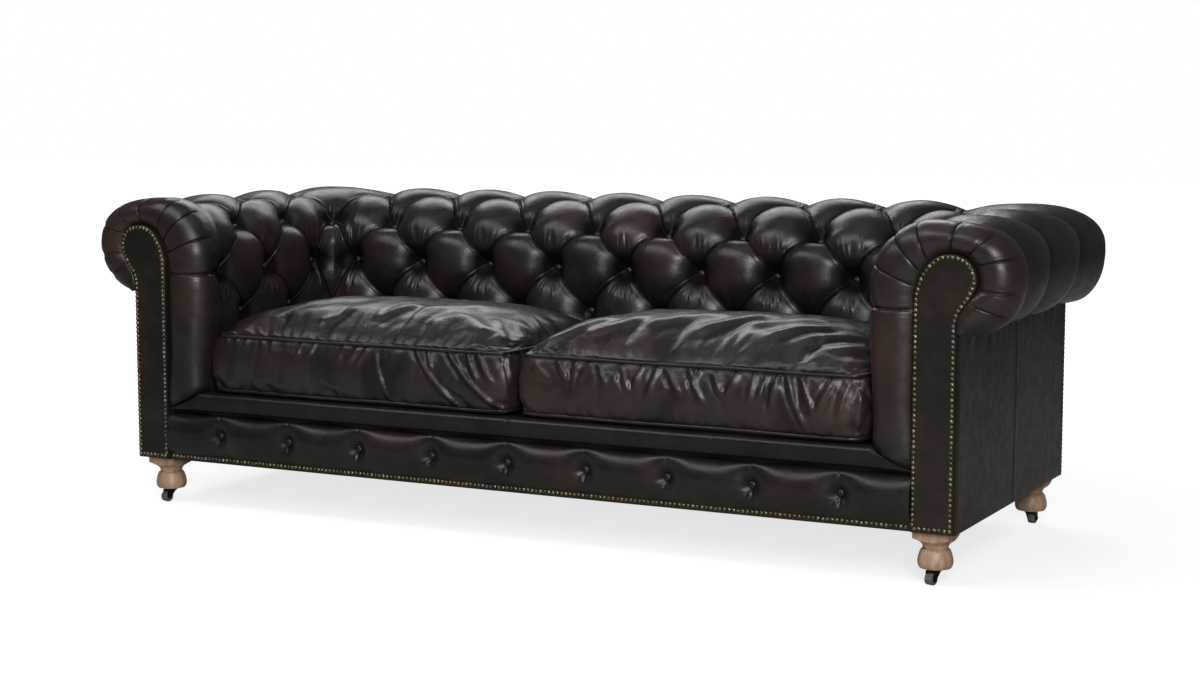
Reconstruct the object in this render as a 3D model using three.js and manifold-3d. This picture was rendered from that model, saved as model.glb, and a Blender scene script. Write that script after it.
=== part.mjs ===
// Chesterfield sofa: rolled arms and back at one height, deep button tufting, two loose seat
// cushions, nail trimmed arm facings, turned oak feet on small swivel castors.
// Millimetres. +Z is up, X runs along the sofa, the front faces -Y. The origin is on the floor,
// midway along the sofa and midway between its front and its rearmost point.
import * as THREE from 'three';
import { mergeVertices } from 'three/addons/utils/BufferGeometryUtils.js';
import Module from 'manifold-3d';

const wasm = await Module();
wasm.setup();

// Body of the sofa
const bodyHalfLength = 1056; // middle to the outside arm leather
const bodyFrontY = -460; // leather of the arm facings
const bodyBackY = 346; // leather of the outside back
const bodyUndersideZ = 116; // lower edge of the leather
const seamGap = 0.3; // left between pieces that touch
const panelThickness = 5; // leather over board on the outside arms and back

// Padded roll that runs along both arms and the back
const rollTopZ = 760;
const rollInnerZ = 610; // height of the roll's innermost line
const rollOuterZ = 645; // height of its outermost line
const rollUnderZ = 527; // height of its underside, where it meets the outside panels
const rollTuck = 9; // flat strip of the underside beside the outside panels
const armInnerReach = 209; // outside arm leather in to the innermost line of the roll
const armCrestReach = 70; // in to the crest
const armOverhang = 97; // out to the outermost line
const backInnerReach = 240;
const backCrestReach = 36;
const backOverhang = 117.5;
const armFootLean = 38; // inside arm face steps back this much by the foot of the pad
const backFootLean = -10; // inside back face comes forward this much by its foot
const padFootZ = 250;
const armPadThickness = 80; // at the foot of the inside arm
const backPadThickness = 104;
const innerCornerRadius = 40; // plan radius where the inside arm turns into the inside back
const crestCornerRadius = 95;
const outerCornerRadius = 150;
const bodyCornerRadius = 6;
const liningCornerRadius = 0.6; // nearly square where the padding meets boards and posts
const liningShoulder = 25; // hollow of the arm pad narrows by this under the curl of the facing
const rollFrontRound = 52; // how far back the gathered front end of the arm roll starts
const rollFrontSetback = 8; // gathered end stops this far behind the facing leather
const rollFrontRise = 40; // underside of the gathered end rises this much before it turns up
const footLeanPower = 1.3; // how evenly the inside faces lean towards the foot
// Rows of the pad below the seat row, as shares of the way up to it
const footRowShares = [0, 0.5, 0.75];
// How far the rows round the inside of the roll take the wider spacing of its outside
const innerSpacingShares = [0.05, 0.12, 0.3, 0.5];

// Button tufting
const backButtonIntervals = 8; // between the first and last button of the lower back row
const armButtonIntervals = 2;
const lastBackButtonInset = 43; // innermost line of the arm roll to the last lower back button
const armCornerButtonInset = 46; // inside back face to the nearest lower arm button
const armCornerChannelInset = 301; // outermost back line to the nearest channel on the arm
const armFrontButtonInset = 107; // facing to the front lower arm button
const armFrontChannelInset = 148; // facing to the front channel on the outside of the roll
const seatRowZ = 470; // button row level with the cushion tops
const lowerRowZ = 574;
const upperRowZ = 676;
const upperMidRowAngle = 57; // degrees up the inside of the roll, between upper row and crest
const cornerColumnShares = [0, 0.2, 0.4, 0.6, 0.8]; // loops between the mitre and the first column
const pleatDepth = 13;
const buttonDepth = 28;
const channelDepth = 11; // parallel channels over the outside of the roll

// Arm facings and their nail line, outline of the scroll head measured from the nail line corner
const facingWidth = 91.7;
const facingThickness = 18.7;
const nailInset = 6; // edge of the facing to the nail line
const facingShoulderZ = 606; // where the straight inner edge starts to curl
const facingTopZ = 693;
const facingHeadX = 30; // bulb of the scroll beyond the outer edge of the facing
const facingWaistZ = 546;
// Scroll head: first the rise from the waist, as shares of the bulb's reach and of the height to
// the shoulder, then the way over the head, as shares of its width and height
const headRiseShares = [[0.28, 0.42], [0.72, 0.95]];
const headOverShares = [[1, 0.42], [0.85, 0.88], [0.55, 1], [0.32, 0.88], [0.11, 0.5]];
const headSteps = 24;
const hollowTopShare = 0.38; // of the head's height, where the hollow behind it ends
const boardThickness = 21;
const boardInset = 8; // front board stays inside the facing's outline
const nailStripWidth = 9;
const nailHeight = 3.2;

// Timber frame
const postDepth = 44.7;
const railThickness = 34.7;
const railTopZ = 243;
const frameTopZ = 654;
const topRailHeight = 54;
const topRailDepth = 46.7;
const armTopRailInnerInset = 14; // top rail lies in from the faces of the post
const armTopRailOuterInset = 11.4;
const stuffingRailThickness = 30;
const stuffingRailHeight = 43;
const centreRailWidth = 50;
const centreRailHeight = 93;
const formerThickness = 40;
const formerSpacing = 480;
const outsidePanelTopZ = 545;

// Seat platform
const webbingThickness = 3;
const webbingWidth = 50;
const webbingAcross = 7; // straps from front to back
const webbingAlong = 3; // straps from side to side
const deckTopZ = 285;
const deckCornerRadius = 44; // rear corners, inside those of the padding
const lipSetback = 4; // front of the lip behind the facing leather
const lipRound = 18;
const borderTopZ = 241;
const borderSetback = 1; // most prominent line of the front border behind the facing leather
const borderEdgeSetback = 8;
const borderDimple = 17;
// Swelling of the border and depth of the dimples at its levels, from the bottom up
const borderBulgeShares = [0, 0, 0.8, 1, 0.8, 0];
const borderDimpleShares = [0, 0, 0.24, 1, 0.24, 0];
const borderButtonZ = 183;
const borderNailZ = 125;
const dustCoverThickness = 1.5;
const dustCoverMargin = 8; // dust cover stays this far inside the frame and off the feet

// Seat cushions
const cushionGap = 12; // between the two cushions
const cushionArmClearance = 5;
const cushionBackClearance = 5;
const cushionFrontSetback = 20;
const cushionWeltZ = 427; // top seam of the boxing
const cushionCrown = 80; // rise of the middle above that seam
const cushionDrawIn = 7; // sides pull in between the corners
const cushionBulge = 5; // boxing swells between its seams
const cushionCornerPull = 14;
const cushionBoxingShares = [0.33, 0.72]; // levels of the boxing between its seams
const cushionColumns = 20;
const cushionRows = 14;

// Feet
const footBlock = 78;
const footBlockInset = 20; // outside arm leather to the block
const footFrontInset = 19;
const footBackInset = 8;
const footNeckRadius = 26;
const footNeckZ = 79;
const footBunRadius = 37.5;
const footBunZ = 50;
const footSoleRadius = 24;
const footSoleZ = 33;
const footShoulderZ = 100; // where the block is full square
const footSegments = 16;
// Turned profile: shares of the radius and of the height between the named places of each stretch
const bunUnderShares = [[0.55, 0.16], [0.87, 0.48]];
const bunOverShares = [[0.12, 0.3], [0.55, 0.62], [0.88, 0.9]];
const shoulderShares = [[0.1, 0.14], [0.25, 0.4], [0.43, 0.68]];
const stemHoleRadius = 5.6;
const stemHoleDepth = 13;

// Castors
const castorPlateRadius = 16;
const castorPlateThickness = 2.4;
const castorPlateBore = 5.3;
const castorWheelRadius = 13;
const castorWheelWidth = 17;
const castorWheelBore = 2.7;
const castorTrail = 14; // swivel axis to the wheel axis
const castorCheekThickness = 2.2;
const castorSideGap = 0.6;
const castorCrownThickness = 2.7;
const castorStemRadius = 4.6;
const castorStemLength = 13;
const castorAxleRadius = 2.1;
const castorAxleBore = 2.4;
const castorRivetRadius = 3.6;
const castorRivetThickness = 1.2;
const castorEdge = 1.5; // rounding of the wheel's tread edges
const wheelSegments = 20;
const pinSegments = 12;
const frontCastorHeading = -18; // degrees from straight ahead
const rearCastorHeading = 176;

// Finishes
const leather = new THREE.MeshStandardMaterial({ color: 0x1c1614, roughness: 0.38, metalness: 0 });
const cushionLeather = new THREE.MeshStandardMaterial({ color: 0x2a211e, roughness: 0.36, metalness: 0 });
const timber = new THREE.MeshStandardMaterial({ color: 0xc39a67, roughness: 0.75, metalness: 0 });
const cloth = new THREE.MeshStandardMaterial({ color: 0x191919, roughness: 0.95, metalness: 0 });
const webbing = new THREE.MeshStandardMaterial({ color: 0x9c8560, roughness: 0.95, metalness: 0 });
const oak = new THREE.MeshStandardMaterial({ color: 0xb08a68, roughness: 0.55, metalness: 0 });
const brass = new THREE.MeshStandardMaterial({ color: 0x8c7a45, roughness: 0.38, metalness: 1 });
const blackMetal = new THREE.MeshStandardMaterial({ color: 0x1a1917, roughness: 0.45, metalness: 1 });
const tread = new THREE.MeshStandardMaterial({ color: 0x77746c, roughness: 0.6, metalness: 0 });

const group = new THREE.Group();

function addMesh(name, geometry, material, parent = group) {
  const mesh = new THREE.Mesh(geometry, material);
  mesh.name = name;
  parent.add(mesh);
  return mesh;
}

function lerp(a, b, t) {
  return a + (b - a) * t;
}

function radians(degrees) {
  return degrees * Math.PI / 180;
}

// Stretch of X on one side of the sofa, lower end first
function sideSpan(side, near, far) {
  return side > 0 ? [near, far] : [-far, -near];
}

// A square block of timber or board between two corners
function addBox(name, low, high, material) {
  const size = high.map((value, axis) => value - low[axis]);
  const mesh = addMesh(name, new THREE.BoxGeometry(...size), material);
  mesh.position.set(...high.map((value, axis) => (value + low[axis]) / 2));
  return mesh;
}

// A copy of a geometry with its places alone
function bareOf(geometry) {
  const bare = geometry.clone();
  bare.deleteAttribute('normal');
  bare.deleteAttribute('uv');
  return bare;
}

// Turns a closed geometry into a solid for cutting and joining
function solidOf(geometry) {
  const merged = mergeVertices(bareOf(geometry));
  const vertProperties = new Float32Array(merged.attributes.position.array);
  const triVerts = new Uint32Array(merged.index.array);
  return new wasm.Manifold(new wasm.Mesh({ numProp: 3, vertProperties, triVerts }));
}

function geometryOf(solid) {
  const mesh = solid.getMesh();
  const geometry = new THREE.BufferGeometry();
  geometry.setAttribute('position', new THREE.BufferAttribute(new Float32Array(mesh.vertProperties), 3));
  geometry.setIndex(new THREE.BufferAttribute(new Uint32Array(mesh.triVerts), 1));
  geometry.computeVertexNormals();
  return geometry;
}

// Triangles that fill an outline, turning the same way as its points do
function fillOutline(points) {
  const triangles = THREE.ShapeUtils.triangulateShape(points, []);
  return THREE.ShapeUtils.isClockWise(points) ? triangles.map(([a, b, c]) => [c, b, a]) : triangles;
}

// Skin over closed loops of points, with both ends closed by the same triangles. Each patch is
// split from its later loop's first point, or the other way where turned says so.
function loft(loops, endTriangles, turned = () => false) {
  const count = loops[0].length;
  const positions = loops.flat().flatMap((point) => [point.x, point.y, point.z]);
  const index = [];
  for (let i = 0; i + 1 < loops.length; i += 1) {
    for (let j = 0; j < count; j += 1) {
      const a = i * count + j;
      const b = i * count + (j + 1) % count;
      if (turned(i, j)) {
        index.push(a, b, b + count, a, b + count, a + count);
      } else {
        index.push(a, b, a + count, b, b + count, a + count);
      }
    }
  }
  const last = (loops.length - 1) * count;
  for (const [a, b, c] of endTriangles) {
    index.push(c, b, a, last + a, last + b, last + c);
  }
  const geometry = new THREE.BufferGeometry();
  geometry.setAttribute('position', new THREE.Float32BufferAttribute(positions, 3));
  geometry.setIndex(index);
  return facingOut(geometry);
}

// Reverses the triangles of a closed surface whose faces point in
function facingOut(geometry) {
  const p = geometry.attributes.position;
  const index = geometry.index.array;
  const corner = (i) => new THREE.Vector3().fromBufferAttribute(p, index[i]);
  let volume = 0;
  for (let i = 0; i < index.length; i += 3) {
    volume += corner(i).dot(corner(i + 1).cross(corner(i + 2)));
  }
  if (volume < 0) {
    for (let i = 0; i < index.length; i += 3) {
      [index[i], index[i + 1]] = [index[i + 1], index[i]];
    }
  }
  geometry.computeVertexNormals();
  return geometry;
}

function mirrored(geometry) {
  const copy = mergeVertices(bareOf(geometry));
  copy.scale(-1, 1, 1);
  return facingOut(copy);
}

// Outline in the XZ plane, given thickness from the front plane backwards
function plateXZ(points, frontY, thickness, holes = []) {
  const shape = new THREE.Shape(points.map((p) => new THREE.Vector2(p.x, p.y)));
  for (const hole of holes) {
    shape.holes.push(new THREE.Path(hole.map((p) => new THREE.Vector2(p.x, p.y))));
  }
  const geometry = new THREE.ExtrudeGeometry(shape, { depth: thickness, bevelEnabled: false });
  geometry.rotateX(Math.PI / 2);
  geometry.translate(0, frontY + thickness, 0);
  return geometry;
}

// Closed outline moved outwards by a distance, square to its own edges
function offsetOutline(points, distance) {
  const count = points.length;
  return points.map((point, i) => {
    const before = points[(i + count - 1) % count];
    const after = points[(i + 1) % count];
    const inDirection = new THREE.Vector2().subVectors(point, before).normalize();
    const outDirection = new THREE.Vector2().subVectors(after, point).normalize();
    const inNormal = new THREE.Vector2(inDirection.y, -inDirection.x);
    const normal = new THREE.Vector2(outDirection.y, -outDirection.x).add(inNormal).normalize();
    const spread = Math.max(normal.dot(inNormal), 1 / 2);
    return new THREE.Vector2().copy(point).addScaledVector(normal, distance / spread);
  });
}

// Places shared by several pieces
const frameOuterX = bodyHalfLength - panelThickness - seamGap;
const frameBackY = bodyBackY - panelThickness - seamGap;
const facingOuterX = frameOuterX;
const facingInnerX = facingOuterX - facingWidth;
const boardFrontY = bodyFrontY + facingThickness + seamGap;
const frameFrontY = boardFrontY + boardThickness + seamGap;
const armInnerX = bodyHalfLength - armInnerReach;
const backInnerY = bodyBackY - backInnerReach;
const armVoidX = armInnerX + armFootLean + armPadThickness;
const backVoidY = backInnerY + backFootLean + backPadThickness;
const postInnerX = armVoidX + seamGap;
const frontPostBackY = frameFrontY + postDepth;
const rearPostFrontY = backVoidY + seamGap;
const deckBottomZ = railTopZ + webbingThickness + 2 * seamGap;
const footX = bodyHalfLength - footBlockInset - footBlock / 2;
const footFrontY = bodyFrontY + footFrontInset + footBlock / 2;
const footBackY = bodyBackY - footBackInset - footBlock / 2;
const backButtonPitch = 2 * (armInnerX - lastBackButtonInset) / backButtonIntervals;
const lastBackColumn = backButtonIntervals / 2;
const cornerColumn = lastBackColumn + 0.5;
const firstArmColumn = lastBackColumn + 1;
const lastArmColumn = firstArmColumn + armButtonIntervals;

function footStep(z) {
  const share = Math.max(rollInnerZ - z, 0) / (rollInnerZ - padFootZ);
  return share ** footLeanPower;
}

function armInnerAt(z) {
  return armInnerX + armFootLean * footStep(z);
}

function backInnerAt(z) {
  return backInnerY + backFootLean * footStep(z);
}

// Rows of the roll's surface, from the foot of the inside face over the crest to the underside.
// Each row has its quilting row number, its height, its place on the arm and on the back, and
// how far it takes the outer spacing of the columns and the outer corner radius.
function rollRows() {
  const rows = [];
  const addRow = (quiltRow, arm, back, z, radius, outerShare) => {
    rows.push({ quiltRow, arm, back, z, radius, outerShare });
  };
  const insideHeights = footRowShares.map((share) => [2 * share - 2, lerp(padFootZ, seatRowZ, share)]);
  insideHeights.push([0, seatRowZ], [0.5, (seatRowZ + lowerRowZ) / 2], [1, lowerRowZ]);
  for (const [row, z] of insideHeights) {
    addRow(row, armInnerAt(z), backInnerAt(z), z, innerCornerRadius, 0);
  }
  const armCrest = bodyHalfLength - armCrestReach;
  const backCrest = bodyBackY - backCrestReach;
  const innerRise = rollTopZ - rollInnerZ;
  const angleAt = (z) => Math.asin(Math.max(z - rollInnerZ, 0) / innerRise);
  const insideAngles = [
    angleAt((lowerRowZ + upperRowZ) / 2),
    angleAt(upperRowZ),
    radians(upperMidRowAngle),
    Math.PI / 2,
  ];
  insideAngles.forEach((angle, i) => {
    const arm = armCrest - (armCrest - armInnerX) * Math.cos(angle);
    const back = backCrest - (backCrest - backInnerY) * Math.cos(angle);
    const radius = lerp(innerCornerRadius, crestCornerRadius, angle / (Math.PI / 2));
    const z = rollInnerZ + innerRise * Math.sin(angle);
    addRow(1.5 + i / 2, arm, back, z, radius, innerSpacingShares[i]);
  });
  const outerSteps = 4;
  for (let i = 1; i <= outerSteps; i += 1) {
    const angle = Math.PI / 2 * (1 - i / outerSteps);
    const arm = armCrest + (bodyHalfLength + armOverhang - armCrest) * Math.cos(angle);
    const back = backCrest + (bodyBackY + backOverhang - backCrest) * Math.cos(angle);
    const radius = lerp(crestCornerRadius, outerCornerRadius, i / outerSteps);
    const z = rollOuterZ + (rollTopZ - rollOuterZ) * Math.sin(angle);
    addRow(3 + i / outerSteps, arm, back, z, radius, (1 + i / outerSteps) / 2);
  }
  for (let i = 1; i <= outerSteps; i += 1) {
    const angle = Math.PI / 2 * i / outerSteps;
    const arm = bodyHalfLength + rollTuck + (armOverhang - rollTuck) * Math.cos(angle);
    const back = bodyBackY + rollTuck + (backOverhang - rollTuck) * Math.cos(angle);
    const radius = lerp(outerCornerRadius, bodyCornerRadius + rollTuck, 1 - Math.cos(angle));
    const z = rollOuterZ - (rollOuterZ - rollUnderZ) * Math.sin(angle);
    addRow(4 + i / outerSteps, arm, back, z, radius, 1);
  }
  return rows;
}

// Rows of the hidden inner side of the pad, round the frame
function liningRows() {
  const armWall = bodyHalfLength + seamGap;
  const backWall = bodyBackY + seamGap;
  const top = frameTopZ + seamGap;
  const radius = liningCornerRadius;
  return [
    { arm: armWall, back: backWall, z: rollUnderZ, radius, outerShare: 1 },
    { arm: armWall, back: backWall, z: top, radius, outerShare: 1 },
    { arm: armVoidX, back: backVoidY, z: top, radius, outerShare: 1 / 2 },
    { arm: armVoidX, back: backVoidY, z: padFootZ, radius, outerShare: 0 },
  ];
}

const surfaceRows = rollRows();
const padRows = [...surfaceRows, ...liningRows()];

// Outward direction of each surface row in its own section
const rowNormals = surfaceRows.map((row, i) => {
  const before = surfaceRows[Math.max(i - 1, 0)];
  const after = surfaceRows[Math.min(i + 1, surfaceRows.length - 1)];
  return new THREE.Vector2(-(after.z - before.z), after.arm - before.arm).normalize();
});

// Depth of the quilting below the crowns at a column and a row. Buttons lie on whole columns in
// rows 1 and 3 and on half columns in rows 0 and 2, and pleats join them diagonally.
function quiltDepth(column, row) {
  const clamped = Math.min(Math.max(row, 0), 3);
  const a = column + (clamped - 1) / 2;
  const b = column - (clamped - 1) / 2;
  const crown = Math.sqrt(Math.abs(Math.sin(Math.PI * a) * Math.sin(Math.PI * b)));
  const onChannel = Math.min(Math.max(row - 3, 0), 1);
  const line = lerp(pleatDepth, channelDepth, onChannel) * (1 - crown);
  const atButton = Math.abs(a - Math.round(a)) + Math.abs(b - Math.round(b)) + Math.abs(row - clamped) * 2;
  const button = (buttonDepth - pleatDepth) * Math.max(1 - atButton * 2, 0);
  const footFade = Math.min(Math.max((row + 2) / 2, 0), 1);
  const frontFade = Math.min(Math.max((lastArmColumn + 0.3 - Math.abs(column)) * 4, 0), 1);
  return (line + button) * footFade * frontFade;
}

// Plan position of a row at a column, with the outward direction there. The column counts from
// the middle of the back, round the corner and along the arm. The shift moves it along the row.
function planPoint(column, row, shift = 0) {
  const side = Math.sign(column) || 1;
  const q = Math.abs(column);
  const corner = new THREE.Vector2(row.arm - row.radius, row.back - row.radius);
  const backEnd = lastBackColumn * backButtonPitch;
  const armStart = row.back - lerp(armCornerButtonInset, armCornerChannelInset, row.outerShare);
  const armEnd = bodyFrontY + lerp(armFrontButtonInset, armFrontChannelInset, row.outerShare);
  const eighth = row.radius * Math.PI / 4;
  const point = { x: 0, y: 0, nx: 0, ny: 1 };
  const onArc = (angle) => {
    point.nx = Math.sin(angle);
    point.ny = Math.cos(angle);
    point.x = corner.x + row.radius * point.nx;
    point.y = corner.y + row.radius * point.ny;
  };
  if (q <= lastBackColumn) {
    point.x = q * backButtonPitch;
    point.y = row.back;
  } else if (q <= cornerColumn) {
    const straight = Math.max(corner.x - backEnd, 0);
    const travelled = (q - lastBackColumn) / 0.5 * (straight + eighth);
    if (travelled < straight) {
      point.x = backEnd + travelled;
      point.y = row.back;
    } else {
      onArc((travelled - straight) / row.radius);
    }
  } else {
    const straight = Math.max(corner.y - armStart, 0);
    const travelled = Math.min(q - cornerColumn, 0.5) / 0.5 * (straight + eighth);
    if (travelled < eighth) {
      onArc(Math.PI / 4 + travelled / row.radius);
    } else {
      const beyond = Math.max(q - firstArmColumn, 0) * (armStart - armEnd) / armButtonIntervals;
      point.x = row.arm;
      point.y = corner.y - (travelled - eighth) - beyond;
      point.nx = 1;
      point.ny = 0;
    }
  }
  point.x += point.ny * shift;
  point.y -= point.nx * shift;
  return { x: point.x * side, y: point.y, nx: point.nx * side, ny: point.ny };
}

// One closed loop of the pad at a column
function padLoop(column, shift = 0) {
  return padRows.map((row, i) => {
    const plan = planPoint(column, row, shift * Math.sign(column));
    const normal = rowNormals[i];
    const depth = normal ? quiltDepth(column, row.quiltRow) : 0;
    const inward = normal ? normal.x * depth : 0;
    const down = normal ? normal.y * depth : 0;
    return new THREE.Vector3(plan.x - plan.nx * inward, plan.y - plan.ny * inward, row.z - down);
  });
}

// Whether the patch beyond a loop and above a row is split along a pleat that leans with the columns
function pleatTurned(columns, i, j) {
  if (i + 1 >= columns.length || j + 1 >= surfaceRows.length) {
    return false;
  }
  const column = (columns[i] + columns[i + 1]) / 2;
  const row = (surfaceRows[j].quiltRow + surfaceRows[j + 1].quiltRow) / 2;
  const offPleat = (place) => Math.abs(place - Math.round(place));
  return offPleat(column - (row - 1) / 2) < offPleat(column + (row - 1) / 2);
}

// Ends of a pad are closed with the triangles of its plain section
const sectionTriangles = fillOutline(padRows.map((row) => new THREE.Vector2(row.arm, row.z)));

// Nail line of the right arm facing, anticlockwise from its lower inner corner
function nailLine() {
  const inner = facingInnerX + nailInset;
  const outer = facingOuterX - nailInset;
  const top = facingTopZ - nailInset;
  const bulb = outer + facingHeadX;
  const width = bulb - inner;
  const rise = top - facingShoulderZ;
  const places = [[outer, facingWaistZ]];
  for (const [across, up] of headRiseShares) {
    places.push([lerp(outer, bulb, across), lerp(facingWaistZ, facingShoulderZ, up)]);
  }
  for (const [across, up] of headOverShares) {
    places.push([inner + width * across, facingShoulderZ + rise * up]);
  }
  places.push([inner, facingShoulderZ]);
  const knots = places.map(([x, z]) => new THREE.Vector3(x, z, 0));
  const head = new THREE.CatmullRomCurve3(knots, false, 'centripetal');
  const curl = head.getPoints(headSteps).map((p) => new THREE.Vector2(p.x, p.y));
  return [new THREE.Vector2(inner, borderNailZ), new THREE.Vector2(outer, borderNailZ), ...curl];
}

const facingNailLine = nailLine();
const facingOutline = offsetOutline(facingNailLine, nailInset);
for (const point of facingOutline.slice(0, 2)) {
  point.y = bodyUndersideZ;
}

// Where each surface row of the roll ends on the facing: up its inner edge, then round the head
function rollEnds() {
  const headPoints = facingOutline.slice(2).reverse();
  const straight = surfaceRows.filter((row) => row.quiltRow <= 1).length;
  const around = surfaceRows.length - straight;
  return surfaceRows.map((row, i) => {
    if (i < straight) {
      return new THREE.Vector2(facingInnerX - seamGap, row.z);
    }
    const place = (i - straight + 1) / around * (headPoints.length - 1);
    const head = headPoints[Math.round(place)];
    if (row.quiltRow <= 4) {
      return head;
    }
    const underside = rollUnderZ + (5 - row.quiltRow) * rollFrontRise;
    const outward = Math.max(head.x, bodyHalfLength + 2 * seamGap);
    return new THREE.Vector2(outward, Math.max(Math.min(head.y, rollOuterZ), underside));
  });
}

// Right arm pad: from the corner mitre along the arm to its gathered front end
function armPadGeometry() {
  const columns = cornerColumnShares.map((share) => lerp(cornerColumn, firstArmColumn, share));
  for (let q = firstArmColumn; q <= lastArmColumn; q += 0.25) {
    columns.push(q);
  }
  const loops = columns.map((column, i) => padLoop(column, i === 0 ? seamGap / 2 : 0));
  const startY = bodyFrontY + rollFrontRound;
  const endY = bodyFrontY + rollFrontSetback;
  const ends = rollEnds();
  const capSteps = 4;
  const hollowTopZ = lerp(facingShoulderZ, facingTopZ, hollowTopShare);
  const hollowAt = (row, angle) => {
    if (angle < Math.PI / 3 || row.z < frameTopZ) {
      return new THREE.Vector2(row.arm, row.z);
    }
    return new THREE.Vector2(row.arm === armVoidX ? armVoidX + liningShoulder : row.arm, hollowTopZ);
  };
  for (let i = 0; i <= capSteps; i += 1) {
    const angle = Math.PI / 2 * i / capSteps;
    const y = lerp(startY, endY, Math.sin(angle));
    loops.push(padRows.map((row, j) => {
      const end = ends[j];
      const inset = 1 - Math.cos(angle);
      const place = end ? new THREE.Vector2(row.arm, row.z).lerp(end, inset) : hollowAt(row, angle);
      return new THREE.Vector3(place.x, y, place.y);
    }));
  }
  const pad = solidOf(loft(loops, sectionTriangles, (i, j) => pleatTurned(columns, i, j)));
  const room = facingThickness + boardThickness + 2 * seamGap;
  const pocketOutline = offsetOutline(facingOutline, seamGap);
  const pocket = solidOf(plateXZ(pocketOutline, bodyFrontY - seamGap, room + seamGap));
  return geometryOf(pad.subtract(pocket));
}

function backPadGeometry() {
  const columns = cornerColumnShares.map((share) => lerp(cornerColumn, lastBackColumn, share));
  for (let q = lastBackColumn; q > 0; q -= 0.25) {
    columns.push(q);
  }
  const left = columns.map((q) => -q);
  const right = [...columns].reverse();
  const all = [...left, 0, ...right];
  const isEnd = (i) => i === 0 || i === all.length - 1;
  const loops = all.map((column, i) => padLoop(column, isEnd(i) ? -seamGap / 2 : 0));
  return loft(loops, sectionTriangles, (i, j) => pleatTurned(all, i, j));
}

// A loose box cushion: crowned top, drawn in sides, swelling boxing, flat underneath
function cushionGeometry(lowX, highX) {
  const lowY = bodyFrontY + cushionFrontSetback;
  const highY = backInnerAt(deckTopZ) - cushionBackClearance;
  const bottomZ = deckTopZ + seamGap;
  const countX = cushionColumns;
  const countY = cushionRows;
  const halfX = (highX - lowX) / 2;
  const halfY = (highY - lowY) / 2;
  const middleX = (highX + lowX) / 2;
  const middleY = (highY + lowY) / 2;
  const planAt = (u, v, swell) => {
    const pull = cushionCornerPull * u ** 8 * v ** 8;
    const drawX = cushionDrawIn * (1 - v * v) * Math.abs(u) ** 3;
    const drawY = cushionDrawIn * (1 - u * u) * Math.abs(v) ** 3;
    const x = Math.sign(u) * (Math.abs(u) * halfX - pull - drawX + swell * Math.abs(u) ** 20);
    const y = Math.sign(v) * (Math.abs(v) * halfY - pull - drawY + swell * Math.abs(v) ** 20);
    return [middleX + x, middleY + y];
  };
  const positions = [];
  const index = [];
  const gridAt = (i, j) => j * (countX + 1) + i;
  for (let j = 0; j <= countY; j += 1) {
    for (let i = 0; i <= countX; i += 1) {
      const u = 2 * i / countX - 1;
      const v = 2 * j / countY - 1;
      const rise = ((1 - Math.abs(u) ** 3.2) * (1 - Math.abs(v) ** 2.8)) ** 0.62;
      positions.push(...planAt(u, v, -cushionBulge), cushionWeltZ + cushionCrown * rise);
      if (i < countX && j < countY) {
        const a = gridAt(i, j);
        const b = gridAt(i + 1, j);
        const c = gridAt(i + 1, j + 1);
        const d = gridAt(i, j + 1);
        index.push(a, b, c, a, c, d);
      }
    }
  }
  const rim = [];
  for (let i = 0; i < countX; i += 1) {
    rim.push([i, 0]);
  }
  for (let j = 0; j < countY; j += 1) {
    rim.push([countX, j]);
  }
  for (let i = countX; i > 0; i -= 1) {
    rim.push([i, countY]);
  }
  for (let j = countY; j > 0; j -= 1) {
    rim.push([0, j]);
  }
  const boxing = cushionBoxingShares.map((share) => [0, lerp(cushionWeltZ, bottomZ, share)]);
  boxing.push([-cushionBulge, bottomZ]);
  let upper = rim.map(([i, j]) => gridAt(i, j));
  for (const [swell, z] of boxing) {
    const lower = rim.map(([i, j]) => {
      positions.push(...planAt(2 * i / countX - 1, 2 * j / countY - 1, swell), z);
      return positions.length / 3 - 1;
    });
    for (let k = 0; k < rim.length; k += 1) {
      const next = (k + 1) % rim.length;
      index.push(upper[k], lower[k], upper[next], upper[next], lower[k], lower[next]);
    }
    upper = lower;
  }
  const flat = upper.map((k) => new THREE.Vector2(positions[3 * k], positions[3 * k + 1]));
  for (const [a, b, c] of fillOutline(flat)) {
    index.push(upper[c], upper[b], upper[a]);
  }
  const geometry = new THREE.BufferGeometry();
  geometry.setAttribute('position', new THREE.Float32BufferAttribute(positions, 3));
  geometry.setIndex(index);
  return facingOut(geometry);
}

// Front border: a shallow padded panel drawn in at a row of buttons
function borderGeometry() {
  const half = facingInnerX - seamGap;
  const backY = frameFrontY - seamGap;
  const steps = 4 * (backButtonIntervals + 1);
  const xs = [-half];
  for (let i = 1; i < steps; i += 1) {
    xs.push((i / 4 - (backButtonIntervals + 1) / 2) * backButtonPitch);
  }
  xs.push(half);
  const heights = [
    bodyUndersideZ,
    borderNailZ + nailStripWidth / 2,
    (borderNailZ + borderButtonZ) / 2,
    borderButtonZ,
    (borderButtonZ + borderTopZ) / 2,
    borderTopZ,
  ];
  const loops = xs.map((x) => {
    const column = x / backButtonPitch;
    const away = Math.min(Math.abs(column - Math.round(column)) * 4, 1);
    const loop = heights.map((z, level) => {
      const bulge = (borderEdgeSetback - borderSetback) * borderBulgeShares[level];
      const dimple = borderDimple * borderDimpleShares[level] * (1 - away);
      return new THREE.Vector3(x, bodyFrontY + borderEdgeSetback - bulge + dimple, z);
    });
    loop.push(new THREE.Vector3(x, backY, borderTopZ), new THREE.Vector3(x, backY, bodyUndersideZ));
    return loop;
  });
  const section = loops[0].map((p) => new THREE.Vector2(p.y, p.z));
  return loft(loops, fillOutline(section));
}

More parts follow.
